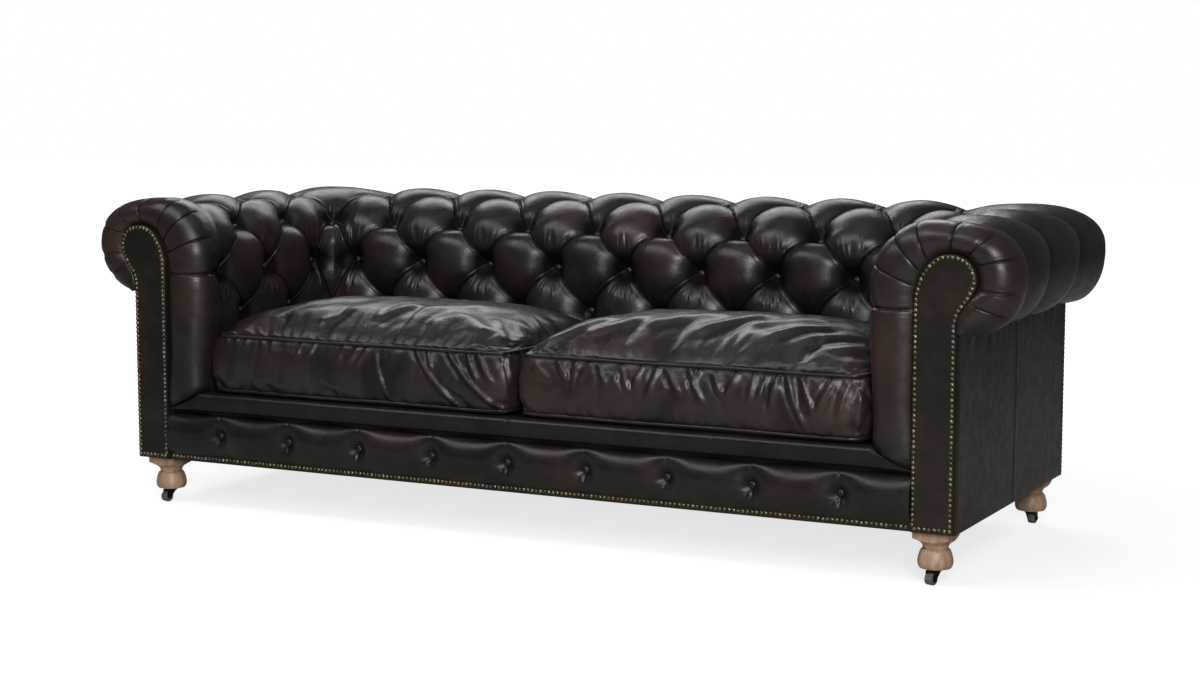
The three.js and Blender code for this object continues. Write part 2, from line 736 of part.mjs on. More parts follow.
// Seat platform with its rear corners rounded like the padding behind it
function deckGeometry() {
  const half = Math.min(armInnerAt(deckTopZ), armInnerAt(padFootZ)) - seamGap;
  const backY = Math.min(backInnerAt(deckTopZ), backInnerAt(padFootZ)) - seamGap;
  const radius = deckCornerRadius;
  const shape = new THREE.Shape();
  shape.moveTo(-half, frameFrontY);
  shape.lineTo(half, frameFrontY);
  shape.absarc(half - radius, backY - radius, radius, 0, Math.PI / 2, false);
  shape.absarc(radius - half, backY - radius, radius, Math.PI / 2, Math.PI, false);
  const depth = deckTopZ - deckBottomZ;
  const geometry = new THREE.ExtrudeGeometry(shape, { depth, bevelEnabled: false, curveSegments: 8 });
  geometry.translate(0, 0, deckBottomZ);
  return geometry;
}

// Lip of the seat platform, rounded over its front edge
function lipGeometry() {
  const half = armInnerAt(deckTopZ) - seamGap;
  const lowY = bodyFrontY + lipSetback;
  const highY = frameFrontY - seamGap;
  const bottomZ = borderTopZ + seamGap;
  const shape = new THREE.Shape();
  shape.moveTo(highY, bottomZ);
  shape.lineTo(highY, deckTopZ);
  shape.lineTo(lowY + lipRound, deckTopZ);
  shape.absarc(lowY + lipRound, deckTopZ - lipRound, lipRound, Math.PI / 2, Math.PI, false);
  shape.lineTo(lowY, bottomZ);
  const options = { depth: 2 * half, bevelEnabled: false, curveSegments: 5 };
  const geometry = new THREE.ExtrudeGeometry(shape, options);
  geometry.rotateY(Math.PI / 2);
  geometry.rotateX(Math.PI / 2);
  geometry.translate(-half, 0, 0);
  return geometry;
}

// Woven seat webbing: straps across and along, fused where they cross
function webbingGeometry() {
  const lowZ = railTopZ + seamGap;
  const middleZ = lowZ + webbingThickness / 2;
  const frontY = frameFrontY;
  const spanY = frameBackY - frontY;
  const strap = (x, y, width, depth) => {
    const geometry = new THREE.BoxGeometry(width, depth, webbingThickness);
    geometry.translate(x, y, middleZ);
    return solidOf(geometry);
  };
  let lattice = null;
  const join = (solid) => {
    lattice = lattice ? lattice.add(solid) : solid;
  };
  const acrossPitch = 2 * armVoidX / webbingAcross;
  for (let i = 0; i < webbingAcross; i += 1) {
    join(strap((i + 1 / 2) * acrossPitch - armVoidX, frontY + spanY / 2, webbingWidth, spanY));
  }
  const openFront = frontPostBackY + webbingWidth;
  const openBack = rearPostFrontY - webbingWidth;
  for (let i = 0; i < webbingAlong; i += 1) {
    const y = lerp(openFront, openBack, i / (webbingAlong - 1));
    join(strap(0, y, 2 * frameOuterX, webbingWidth));
  }
  return geometryOf(lattice);
}

// Turned foot: square block, curved shoulder, neck and bun, bored for the castor stem
function footGeometry() {
  const top = bodyUndersideZ - seamGap;
  const between = (shares, low, high) => shares.map(([outward, up]) => {
    return [lerp(low[0], high[0], outward), lerp(low[1], high[1], up)];
  });
  const sole = [footSoleRadius, footSoleZ];
  const bun = [footBunRadius, footBunZ];
  const neck = [footNeckRadius, footNeckZ];
  const shoulder = [footBlock, footShoulderZ];
  const profile = [
    [0, footSoleZ + stemHoleDepth],
    [stemHoleRadius, footSoleZ + stemHoleDepth],
    [stemHoleRadius, footSoleZ],
    sole,
    ...between(bunUnderShares, sole, bun),
    bun,
    ...between(bunOverShares, bun, neck),
    neck,
    ...between(shoulderShares, neck, shoulder),
    shoulder,
    [footBlock, top + seamGap],
    [0, top + seamGap],
  ].map(([radius, z]) => new THREE.Vector2(radius, z));
  const turned = new THREE.LatheGeometry(profile, footSegments);
  turned.rotateX(Math.PI / 2);
  const block = new THREE.BoxGeometry(footBlock, footBlock, top - footSoleZ + seamGap);
  block.translate(0, 0, (top + footSoleZ - seamGap) / 2);
  const solid = solidOf(facingOut(mergeVertices(bareOf(turned))));
  return geometryOf(solid.intersect(solidOf(block)));
}

// A turned piece whose axis lies along X, closed on its axis or on itself
function turnedAlongX(profile, segments) {
  const points = profile.map(([radius, x]) => new THREE.Vector2(radius, x));
  const geometry = new THREE.LatheGeometry(points, segments);
  geometry.rotateY(Math.PI / segments);
  geometry.rotateZ(-Math.PI / 2);
  return facingOut(mergeVertices(bareOf(geometry)));
}

const castorTopZ = footSoleZ - seamGap;
const castorPlateBottomZ = castorTopZ - castorPlateThickness;
const castorCrownTopZ = castorPlateBottomZ - seamGap;
const cheekInner = castorWheelWidth / 2 + castorSideGap;
const cheekOuter = cheekInner + castorCheekThickness;

// Castor plate, a disc round the stem
function castorPlateGeometry() {
  const profile = [
    [castorPlateBore, castorPlateBottomZ],
    [castorPlateRadius, castorPlateBottomZ],
    [castorPlateRadius, castorTopZ],
    [castorPlateBore, castorTopZ],
    [castorPlateBore, castorPlateBottomZ],
  ].map(([radius, z]) => new THREE.Vector2(radius, z));
  const geometry = new THREE.LatheGeometry(profile, footSegments);
  geometry.rotateX(Math.PI / 2);
  return facingOut(mergeVertices(bareOf(geometry)));
}

// Castor horn: stem, crown and two cheeks, drilled for the axle. It trails towards -Y.
function castorHornGeometry() {
  const crownBack = castorStemRadius + castorCheekThickness;
  const crownFront = -castorTrail - castorRivetRadius;
  const crown = new THREE.BoxGeometry(2 * cheekOuter, crownBack - crownFront, castorCrownThickness);
  crown.translate(0, (crownBack + crownFront) / 2, castorCrownTopZ - castorCrownThickness / 2);
  const stemLength = castorStemLength + castorCrownThickness;
  const stem = new THREE.CylinderGeometry(castorStemRadius, castorStemRadius, stemLength, pinSegments);
  stem.rotateX(Math.PI / 2);
  stem.translate(0, 0, castorCrownTopZ + (castorStemLength - castorCrownThickness) / 2);
  const eye = castorRivetRadius + castorCheekThickness;
  const outline = new THREE.Shape();
  outline.moveTo(crownBack, castorCrownTopZ);
  outline.lineTo(crownFront, castorCrownTopZ);
  outline.lineTo(-castorTrail - eye, castorWheelRadius);
  outline.absarc(-castorTrail, castorWheelRadius, eye, Math.PI, 2 * Math.PI, false);
  const options = { depth: castorCheekThickness, bevelEnabled: false, curveSegments: 6 };
  const cheekAt = (x) => {
    const geometry = new THREE.ExtrudeGeometry(outline, options);
    geometry.rotateY(Math.PI / 2);
    geometry.rotateX(Math.PI / 2);
    geometry.translate(x, 0, 0);
    return solidOf(geometry);
  };
  const bore = new THREE.CylinderGeometry(castorAxleBore, castorAxleBore, 4 * cheekOuter, pinSegments);
  bore.rotateZ(Math.PI / 2);
  bore.translate(0, -castorTrail, castorWheelRadius);
  const horn = solidOf(crown).add(solidOf(stem)).add(cheekAt(cheekInner)).add(cheekAt(-cheekOuter));
  return geometryOf(horn.subtract(solidOf(bore)));
}

function castorWheelGeometry() {
  const half = castorWheelWidth / 2;
  const edge = castorEdge;
  // Faceted tread: its flats, not its corners, lie at the rolling radius
  const rim = castorWheelRadius / Math.cos(Math.PI / wheelSegments);
  return turnedAlongX([
    [castorWheelBore, -half],
    [rim - edge, -half],
    [rim, edge - half],
    [rim, half - edge],
    [rim - edge, half],
    [castorWheelBore, half],
    [castorWheelBore, -half],
  ], wheelSegments);
}

function castorAxleGeometry() {
  const shoulder = cheekOuter + seamGap;
  const end = shoulder + castorRivetThickness;
  return turnedAlongX([
    [0, -end],
    [castorRivetRadius, -end],
    [castorRivetRadius, -shoulder],
    [castorAxleRadius, -shoulder],
    [castorAxleRadius, shoulder],
    [castorRivetRadius, shoulder],
    [castorRivetRadius, end],
    [0, end],
  ], pinSegments);
}

// Timber frame
function addFrame() {
  const railBottomZ = bodyUndersideZ;
  const betweenPosts = armVoidX;
  addBox('front_rail', [-betweenPosts, frameFrontY, railBottomZ],
    [betweenPosts, frameFrontY + railThickness, railTopZ], timber);
  addBox('rear_rail', [-betweenPosts, frameBackY - railThickness, railBottomZ],
    [betweenPosts, frameBackY, railTopZ], timber);
  const openFrontY = frameFrontY + railThickness + seamGap;
  const openBackY = frameBackY - railThickness - seamGap;
  addBox('centre_cross_rail', [-centreRailWidth / 2, openFrontY, railTopZ - centreRailHeight],
    [centreRailWidth / 2, openBackY, railTopZ], timber);
  addBox('back_top_rail', [-betweenPosts, frameBackY - topRailDepth, frameTopZ - topRailHeight],
    [betweenPosts, frameBackY, frameTopZ], timber);
  const stuffingTopZ = deckBottomZ + stuffingRailHeight;
  addBox('back_stuffing_rail', [-betweenPosts, rearPostFrontY, deckBottomZ],
    [betweenPosts, rearPostFrontY + stuffingRailThickness, stuffingTopZ], timber);
  for (const [name, x] of [['left', -formerSpacing], ['centre', 0], ['right', formerSpacing]]) {
    addBox(`back_former_${name}`, [x - formerThickness / 2, rearPostFrontY, stuffingTopZ + seamGap],
      [x + formerThickness / 2, frameBackY - topRailDepth - seamGap, frameTopZ], timber);
  }
  for (const [name, side] of [['left', -1], ['right', 1]]) {
    const addSideBox = (piece, low, high) => {
      const span = sideSpan(side, low[0], high[0]);
      addBox(`${name}_${piece}`, [span[0], low[1], low[2]], [span[1], high[1], high[2]], timber);
    };
    const alongLow = frontPostBackY + seamGap;
    const alongHigh = rearPostFrontY - seamGap;
    addSideBox('front_post', [postInnerX, frameFrontY, railBottomZ],
      [frameOuterX, frontPostBackY, frameTopZ]);
    addSideBox('rear_post', [postInnerX, rearPostFrontY, railBottomZ],
      [frameOuterX, frameBackY, frameTopZ]);
    addSideBox('side_rail', [frameOuterX - railThickness, alongLow, railBottomZ],
      [frameOuterX, alongHigh, railTopZ]);
    addSideBox('arm_top_rail', [postInnerX + armTopRailInnerInset, alongLow, frameTopZ - topRailHeight],
      [frameOuterX - armTopRailOuterInset, alongHigh, frameTopZ]);
    addSideBox('arm_stuffing_rail', [postInnerX, alongLow, deckBottomZ],
      [postInnerX + stuffingRailThickness, alongHigh, stuffingTopZ]);
    const board = plateXZ(offsetOutline(facingOutline, -boardInset), boardFrontY, boardThickness);
    addMesh(`${name}_front_board`, side > 0 ? board : mirrored(board), timber);
  }
}

// Cloth under the frame, cut out round the blocks of the feet
function dustCoverGeometry() {
  const half = frameOuterX - dustCoverMargin;
  const openHalf = footX - footBlock / 2 - dustCoverMargin;
  const frontY = frameFrontY + dustCoverMargin;
  const backY = frameBackY - dustCoverMargin;
  const openFrontY = footFrontY + footBlock / 2 + dustCoverMargin;
  const openBackY = footBackY - footBlock / 2 - dustCoverMargin;
  const outline = [
    [openHalf, frontY],
    [openHalf, openFrontY],
    [half, openFrontY],
    [half, openBackY],
    [openHalf, openBackY],
    [openHalf, backY],
  ];
  const mirror = outline.map(([x, y]) => [-x, y]).reverse();
  const shape = new THREE.Shape([...outline, ...mirror].map(([x, y]) => new THREE.Vector2(x, y)));
  const geometry = new THREE.ExtrudeGeometry(shape, { depth: dustCoverThickness, bevelEnabled: false });
  geometry.translate(0, 0, bodyUndersideZ - seamGap - dustCoverThickness);
  return geometry;
}

// Webbing, platform, lip, border and the cloth underneath
function addSeatBase() {
  addMesh('seat_webbing', webbingGeometry(), webbing);
  addMesh('seat_deck', deckGeometry(), leather);
  addMesh('deck_lip', lipGeometry(), leather);
  addMesh('front_border', borderGeometry(), leather);
  addMesh('dust_cover', dustCoverGeometry(), cloth);
  const nailFrontY = bodyFrontY + borderEdgeSetback - seamGap;
  const nailHalf = facingInnerX - nailStripWidth;
  addBox('border_nails', [-nailHalf, nailFrontY - nailHeight, borderNailZ - nailStripWidth / 2],
    [nailHalf, nailFrontY, borderNailZ + nailStripWidth / 2], brass);
}

// Padded arms and back, outside panels, facings and nail strips
function addUpholstery() {
  const armPad = armPadGeometry();
  addMesh('right_arm_pad', armPad, leather);
  addMesh('left_arm_pad', mirrored(armPad), leather);
  addMesh('back_pad', backPadGeometry(), leather);
  addBox('outside_back', [-bodyHalfLength, frameBackY + seamGap, bodyUndersideZ],
    [bodyHalfLength, bodyBackY, outsidePanelTopZ], leather);
  const facing = plateXZ(facingOutline, bodyFrontY, facingThickness);
  const halfStrip = nailStripWidth / 2;
  const stripFrontY = bodyFrontY - seamGap - nailHeight;
  const stripHole = offsetOutline(facingNailLine, -halfStrip);
  const strip = plateXZ(offsetOutline(facingNailLine, halfStrip), stripFrontY, nailHeight, [stripHole]);
  for (const [name, side] of [['left', -1], ['right', 1]]) {
    addMesh(`${name}_facing`, side > 0 ? facing : mirrored(facing), leather);
    addMesh(`${name}_facing_nails`, side > 0 ? strip : mirrored(strip), brass);
    const panel = sideSpan(side, frameOuterX + seamGap, bodyHalfLength);
    addBox(`${name}_outside_arm`, [panel[0], bodyFrontY + rollFrontSetback, bodyUndersideZ],
      [panel[1], frameBackY, outsidePanelTopZ], leather);
    const nailBase = bodyHalfLength + seamGap;
    const nails = sideSpan(side, nailBase, nailBase + nailHeight);
    addBox(`${name}_rear_nails`, [nails[0], frameBackY - nailStripWidth, bodyUndersideZ + nailInset],
      [nails[1], frameBackY, rollUnderZ - nailInset], brass);
  }
}

function addCushions() {
  const end = Math.min(armInnerAt(cushionWeltZ), armInnerAt(deckTopZ)) - cushionArmClearance;
  const right = cushionGeometry(cushionGap / 2, end);
  addMesh('right_seat_cushion', right, cushionLeather);
  addMesh('left_seat_cushion', mirrored(right), cushionLeather);
}

// Feet and castors at the four corners
function addFeet() {
  const foot = footGeometry();
  const plate = castorPlateGeometry();
  const horn = castorHornGeometry();
  const wheel = castorWheelGeometry();
  const axle = castorAxleGeometry();
  const corners = [
    ['front_left', -footX, footFrontY, frontCastorHeading],
    ['front_right', footX, footFrontY, frontCastorHeading],
    ['rear_left', -footX, footBackY, rearCastorHeading],
    ['rear_right', footX, footBackY, rearCastorHeading],
  ];
  for (const [name, x, y, heading] of corners) {
    const stand = new THREE.Group();
    stand.position.set(x, y, 0);
    group.add(stand);
    addMesh(`${name}_foot`, foot, oak, stand);
    addMesh(`${name}_castor_plate`, plate, blackMetal, stand);
    const swivel = new THREE.Group();
    swivel.rotation.z = radians(heading);
    stand.add(swivel);
    addMesh(`${name}_castor_horn`, horn, blackMetal, swivel);
    const hub = new THREE.Group();
    hub.position.set(0, -castorTrail, castorWheelRadius);
    swivel.add(hub);
    addMesh(`${name}_castor_axle`, axle, blackMetal, hub);
    addMesh(`${name}_castor_wheel`, wheel, tread, hub);
  }
}

addFrame();
addSeatBase();
addUpholstery();
addCushions();
addFeet();

export default group;
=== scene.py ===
"""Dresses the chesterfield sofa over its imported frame.

Everything is in metres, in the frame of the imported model: +X to the right as seen from the front,
+Y to the back and +Z up, with the floor at Z = 0.
"""

import logging
import math
from collections.abc import Sequence
from dataclasses import dataclass, field
from enum import Enum

import bpy
import numpy as np
from mathutils import Matrix, Vector
from mathutils.bvhtree import BVHTree


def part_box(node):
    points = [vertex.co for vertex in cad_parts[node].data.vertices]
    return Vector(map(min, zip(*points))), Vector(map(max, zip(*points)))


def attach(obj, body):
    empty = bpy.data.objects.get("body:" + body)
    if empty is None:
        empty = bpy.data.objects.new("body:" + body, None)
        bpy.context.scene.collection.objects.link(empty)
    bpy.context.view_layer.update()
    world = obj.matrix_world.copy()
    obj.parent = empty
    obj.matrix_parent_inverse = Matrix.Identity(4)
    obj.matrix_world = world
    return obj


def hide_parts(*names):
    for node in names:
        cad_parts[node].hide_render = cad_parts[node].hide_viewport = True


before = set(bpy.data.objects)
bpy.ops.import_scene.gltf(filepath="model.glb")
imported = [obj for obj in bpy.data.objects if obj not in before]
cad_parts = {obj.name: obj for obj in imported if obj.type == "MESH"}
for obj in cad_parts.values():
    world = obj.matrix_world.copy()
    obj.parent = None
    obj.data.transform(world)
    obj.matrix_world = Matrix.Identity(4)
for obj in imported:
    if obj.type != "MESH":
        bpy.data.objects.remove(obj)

LOG = logging.getLogger("sofa")

Colour = tuple[float, float, float]
Place = tuple[float, float, float]
Pair = tuple[float, float]
Array = np.ndarray
Piece = bpy.types.Object
Finish = bpy.types.Material
Socket = bpy.types.NodeSocket

BODY = "sofa_body"
NAIL_PITCH = 0.0108
BUTTON_PITCH = 0.201
BOARD_Y = -0.4215
TO_FRONT = Matrix.Rotation(math.pi / 2, 4, "X")


class Side(Enum):
    """The two ends of the sofa, as seen from the front."""

    LEFT = -1
    RIGHT = 1

    @property
    def word(self) -> str:
        """The word that names of pieces on this side begin with."""
        return self.name.lower()


class Grain(Enum):
    """The axis that a timber's grain runs along."""

    X = 0
    Y = 1
    Z = 2


class Bench:
    """What every piece is made with: taking it up, finishing it and putting it down."""

    @staticmethod
    def clear() -> None:
        """Leaves edit mode and lets go of everything."""
        if bpy.context.object and bpy.context.object.mode != "OBJECT":
            bpy.ops.object.mode_set(mode="OBJECT")
        bpy.ops.object.select_all(action="DESELECT")

    @staticmethod
    def take(piece: Piece) -> Piece:
        """Makes one piece the only one selected.

        Args:
            piece: The piece to work on.

        Returns:
            The same piece.
        """
        Bench.clear()
        piece.select_set(True)
        bpy.context.view_layer.objects.active = piece
        return piece

    @staticmethod
    def edit() -> None:
        """Enters edit mode with everything selected."""
        bpy.ops.object.mode_set(mode="EDIT")
        bpy.ops.mesh.select_all(action="SELECT")

    @staticmethod
    def leave() -> None:
        """Goes back to object mode."""
        bpy.ops.object.mode_set(mode="OBJECT")

    @staticmethod
    def started(name: str) -> Piece:
        """Names the primitive that was just added and sets its place into its mesh.

        Args:
            name: Name of the piece.

        Returns:
            The new piece, selected.
        """
        piece = bpy.context.active_object
        piece.name = name
        piece.data.name = name
        Bench.take(piece)
        bpy.ops.object.transform_apply(location=True, rotation=True, scale=True)
        return piece

    @staticmethod
    def woven(name: str, points: Array, faces: Sequence[Sequence[int]]) -> Piece:
        """Makes a piece from its points and faces.

        Args:
            name: Name of the piece.
            points: Its points, one row each.
            faces: Indices of each face's points.

        Returns:
            The new piece, selected.
        """
        mesh = bpy.data.meshes.new(name)
        mesh.from_pydata(points.reshape(-1, 3).tolist(), [], faces)
        mesh.validate()
        mesh.update()
        piece = bpy.data.objects.new(name, mesh)
        bpy.context.scene.collection.objects.link(piece)
        return Bench.take(piece)

    @staticmethod
    def spun(name: str, profile: Array, steps: int, axis: str, closed: bool) -> Piece:
        """Turns a profile all the way round an axis through the origin.

        Args:
            name: Name of the piece.
            profile: Points of the profile, one row each.
            steps: Steps of the turn.
            axis: X or Z.
            closed: Whether the profile joins up with its own start.

        Returns:
            The new piece, its doubles not yet merged.
        """
        piece = Bench.woven(name, profile, [])
        count = len(profile)
        piece.data.edges.add(count if closed else count - 1)
        for k, edge in enumerate(piece.data.edges):
            edge.vertices = (k, (k + 1) % count)
        piece.data.update()
        Bench.take(piece)
        Bench.edit()
        way = (1, 0, 0) if axis == "X" else (0, 0, 1)
        bpy.ops.mesh.spin(steps=steps, angle=2 * math.pi, center=(0, 0, 0), axis=way)
        Bench.leave()
        return piece

    @staticmethod
    def modify(piece: Piece, kind: str, **settings: object) -> None:
        """Adds a modifier and applies it at once.

        Args:
            piece: The piece to change.
            kind: Kind of modifier.
            settings: Values of the modifier's own settings.
        """
        Bench.take(piece)
        modifier = piece.modifiers.new(kind.title(), kind)
        for key, value in settings.items():
            setattr(modifier, key, value)
        bpy.ops.object.modifier_apply(modifier=modifier.name)

    @staticmethod
    def outward(piece: Piece) -> None:
        """Merges doubles and turns every face outwards.

        Args:
            piece: The piece to tidy.
        """
        Bench.take(piece)
        Bench.edit()
        bpy.ops.mesh.remove_doubles(threshold=1e-6)
        bpy.ops.mesh.normals_make_consistent(inside=False)
        Bench.leave()

    @staticmethod
    def smooth(piece: Piece, angle: float = 180.0) -> None:
        """Shades a piece smooth, apart from edges sharper than an angle.

        Args:
            piece: The piece to shade.
            angle: Largest angle between faces that still looks rounded, in degrees.
        """
        Bench.take(piece)
        if angle >= 180.0:
            bpy.ops.object.shade_smooth()
        else:
            bpy.ops.object.shade_smooth_by_angle(angle=math.radians(angle))

    @staticmethod
    def points(piece: Piece) -> Array:
        """All points of a piece, one row each."""
        flat = np.empty(len(piece.data.vertices) * 3)
        piece.data.vertices.foreach_get("co", flat)
        return flat.reshape(-1, 3)

    @staticmethod
    def set_points(piece: Piece, points: Array) -> None:
        """Moves all points of a piece, given one row each."""
        piece.data.vertices.foreach_set("co", points.ravel())
        piece.data.update()

    @staticmethod
    def normals(piece: Piece) -> Array:
        """Outward direction at each point of a piece, one row each."""
        flat = np.empty(len(piece.data.vertices) * 3)
        piece.data.vertex_normals.foreach_get("vector", flat)
        return flat.reshape(-1, 3)

    @staticmethod
    def note(piece: Piece, name: str, values: Array) -> None:
        """Stores one number for each point of a piece, for its material to read."""
        attribute = piece.data.attributes.new(name, "FLOAT", "POINT")
        attribute.data.foreach_set("value", values.ravel().astype(np.float32))

    @staticmethod
    def copies(name: str, master: Piece, places: Sequence[Matrix]) -> Piece:
        """Sets copies of one small shape at many places, as one piece, and deletes the shape.

        Args:
            name: Name of the new piece.
            master: The shape, made round the origin.
            places: Where each copy goes.

        Returns:
            The new piece.
        """
        shape = Bench.points(master)
        faces = [list(face.vertices) for face in master.data.polygons]
        points, indices = [], []
        for k, place in enumerate(places):
            turn = np.array(place.to_3x3())
            points.append(shape @ turn.T + np.array(place.translation))
            indices.extend([[i + k * len(shape) for i in face] for face in faces])
        bpy.data.objects.remove(master)
        piece = Bench.woven(name, np.concatenate(points), indices)
        Bench.smooth(piece, 50)
        return piece

    @staticmethod
    def dress(
        piece: Piece,
        material: Finish,
        slot: str,
        body: str,
        replaced: Sequence[str] = (),
    ) -> Piece:
        """Gives a finished piece its material and body.

        Args:
            piece: The finished piece.
            material: Its material.
            slot: The record's slot that its finish comes from; not used.
            body: The body that it moves with.
            replaced: CAD nodes that it stands for.

        Returns:
            The same piece.
        """
        piece.data.materials.clear()
        piece.data.materials.append(material)
        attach(piece, body)
        if replaced:
            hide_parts(*replaced)
        LOG.info("%s: %d faces on %s", piece.name, len(piece.data.polygons), body)
        return piece


def blend(low: Array | float, high: Array | float, share: Array | float) -> Array:
    """Value between two others, by a share from 0 at low to 1 at high."""
    return low + (high - low) * share


def ease(low: float, high: float, value: Array) -> Array:
    """Smooth step of a value, from 0 at low to 1 at high, which may be the smaller one."""
    share = np.clip((value - low) / (high - low), 0, 1)
    return share * share * (3 - 2 * share)


def ripple(points: Array, scale: float, seed: int, waves: int = 9) -> Array:
    """Gentle unevenness over space, the same each time.

    Args:
        points: Places, last axis X, Y, Z.
        scale: Typical length of a wave.
        seed: Picks the pattern.
        waves: How many waves are added.

    Returns:
        About -1 to 1 at each place.
    """
    chance = np.random.default_rng(seed)
    total = np.zeros(points.shape[:-1])
    for _ in range(waves):
        direction = chance.normal(size=3)
        direction *= 2 * math.pi / scale * chance.uniform(0.6, 1.4) / np.linalg.norm(direction)
        total += np.sin(points @ direction + chance.uniform(0, 2 * math.pi))
    return total / math.sqrt(waves) / 1.4


def grid_faces(rows: int, columns: int, closed: bool = False) -> list[tuple[int, int, int, int]]:
    """Faces of a grid whose points are stored row by row.

    Args:
        rows: Number of rows of points.
        columns: Number of points in a row.
        closed: Whether each row joins up with its own start.

    Returns:
        Four indices for each face.
    """
    span = columns if closed else columns - 1
    i, j = np.meshgrid(np.arange(rows - 1), np.arange(span), indexing="ij")
    after = (j + 1) % columns
    quads = np.stack(
        [i * columns + j, (i + 1) * columns + j, (i + 1) * columns + after, i * columns + after], -1
    )
    return [tuple(quad) for quad in quads.reshape(-1, 4).tolist()]


def closed_relief(name: str, front: Array, axis: int, back: float) -> Piece:
    """Closed panel with a shaped front and a flat back.

    Args:
        name: Name of the piece.
        front: Grid of front points, rows by columns by 3.
        axis: Axis that the panel's thickness lies along.
        back: Place of the flat back on that axis.

    Returns:
        The panel.
    """
    rows, columns = front.shape[:2]
    at = np.arange(rows * columns).reshape(rows, columns)
    rim = [*at[0, :-1], *at[:-1, -1], *at[-1, :0:-1], *at[:0:-1, 0]]
    points = front.reshape(-1, 3)
    behind = points[rim].copy()
    behind[:, axis] = back
    first, count = rows * columns, len(rim)
    faces = grid_faces(rows, columns)
    for k in range(count):
        after = (k + 1) % count
        faces.append((int(rim[k]), int(rim[after]), first + after, first + k))
    faces.append(tuple(range(first, first + count)))
    piece = Bench.woven(name, np.concatenate([points, behind]), faces)
    Bench.outward(piece)
    Bench.smooth(piece, 60)
    return piece


class Wires:
    """Nodes of a material or of the world, and what links them."""

    def __init__(self, tree: bpy.types.NodeTree) -> None:
        """Starts with a tree, which is emptied."""
        self.tree = tree
        self.tree.nodes.clear()

    def node(self, kind: str, inputs: dict[str | int, object], **settings: object) -> bpy.types.Node:
        """Adds a node.

        Args:
            kind: Kind of node, without the ShaderNode prefix.
            inputs: Values or sockets for its inputs.
            settings: Values of the node's own settings.

        Returns:
            The node.
        """
        node = self.tree.nodes.new("ShaderNode" + kind)
        for key, value in settings.items():
            setattr(node, key, value)
        for key, value in inputs.items():
            if isinstance(value, Socket):
                self.tree.links.new(value, node.inputs[key])
            else:
                node.inputs[key].default_value = value
        return node

    def math(self, kind: str, first: object, second: object = 0.0) -> Socket:
        """Arithmetic on one or two values."""
        return self.node("Math", {0: first, 1: second}, operation=kind).outputs[0]


class Graph(Wires):
    """Wires the nodes of one material."""

    def __init__(self, name: str) -> None:
        """Starts a material with a shader and nothing wired to it.

        Args:
            name: Name of the material.
        """
        self.material = bpy.data.materials.new(name)
        self.material.use_nodes = True
        super().__init__(self.material.node_tree)
        self.output = self.tree.nodes.new("ShaderNodeOutputMaterial")
        self.shader = self.tree.nodes.new("ShaderNodeBsdfPrincipled")
        self.tree.links.new(self.shader.outputs[0], self.output.inputs[0])

    def places(self, scale: tuple[float, float, float] = (1, 1, 1)) -> Socket:
        """Object coordinates, stretched."""
        where = self.node("TexCoord", {}).outputs["Object"]
        return self.node("Mapping", {"Vector": where, "Scale": scale}).outputs[0]

    def noise(self, where: Socket, scale: float, detail: float = 3, rough: float = 0.5) -> Socket:
        """Noise from 0 to 1, its scale in waves in a metre and its detail in octaves."""
        inputs = {"Vector": where, "Scale": scale, "Detail": detail, "Roughness": rough}
        return self.node("TexNoise", inputs).outputs[0]

    def spread(
        self, value: Socket, low: float, high: float, to_low: float = 0, to_high: float = 1
    ) -> Socket:
        """Eases the range from low to high into another, without going beyond it."""
        inputs = {0: value, 1: low, 2: high, 3: to_low, 4: to_high}
        return self.node("MapRange", inputs, interpolation_type="SMOOTHSTEP").outputs[0]

    def mix(self, share: object, first: object, second: object) -> Socket:
        """Colour between two others, by a share from 0 to 1."""
        inputs = {0: share, 6: self.solid(first), 7: self.solid(second)}
        return self.node("Mix", inputs, data_type="RGBA").outputs[2]

    @staticmethod
    def solid(colour: object) -> object:
        """A colour with its alpha, or the socket that it comes from."""
        return colour if isinstance(colour, Socket) else (*colour, 1.0)

    def attribute(self, name: str) -> Socket:
        """A number stored for each point of the piece."""
        return self.node("Attribute", {}, attribute_name=name).outputs["Fac"]

    def bump(self, height: Socket, distance: float, strength: float, under: Socket | None = None) -> Socket:
        """Bumps from a height.

        Args:
            height: Height from 0 to 1.
            distance: Real height of 1, in metres.
            strength: Share of that which shows.
            under: Normal of the bumps below these.

        Returns:
            The bumped normal.
        """
        inputs = {"Height": height, "Distance": distance, "Strength": strength}
        if under is not None:
            inputs["Normal"] = under
        return self.node("Bump", inputs).outputs[0]

    def finish(self, **inputs: object) -> Finish:
        """Sets the shader's sockets and ends the material.

        Args:
            inputs: Values or sockets, by the socket's name with _ for each space.

        Returns:
            The material.
        """
        for key, value in inputs.items():
            socket = self.shader.inputs[key.replace("_", " ")]
            if isinstance(value, Socket):
                self.tree.links.new(value, socket)
            else:
                socket.default_value = self.solid(value) if isinstance(value, tuple) else value
        return self.material


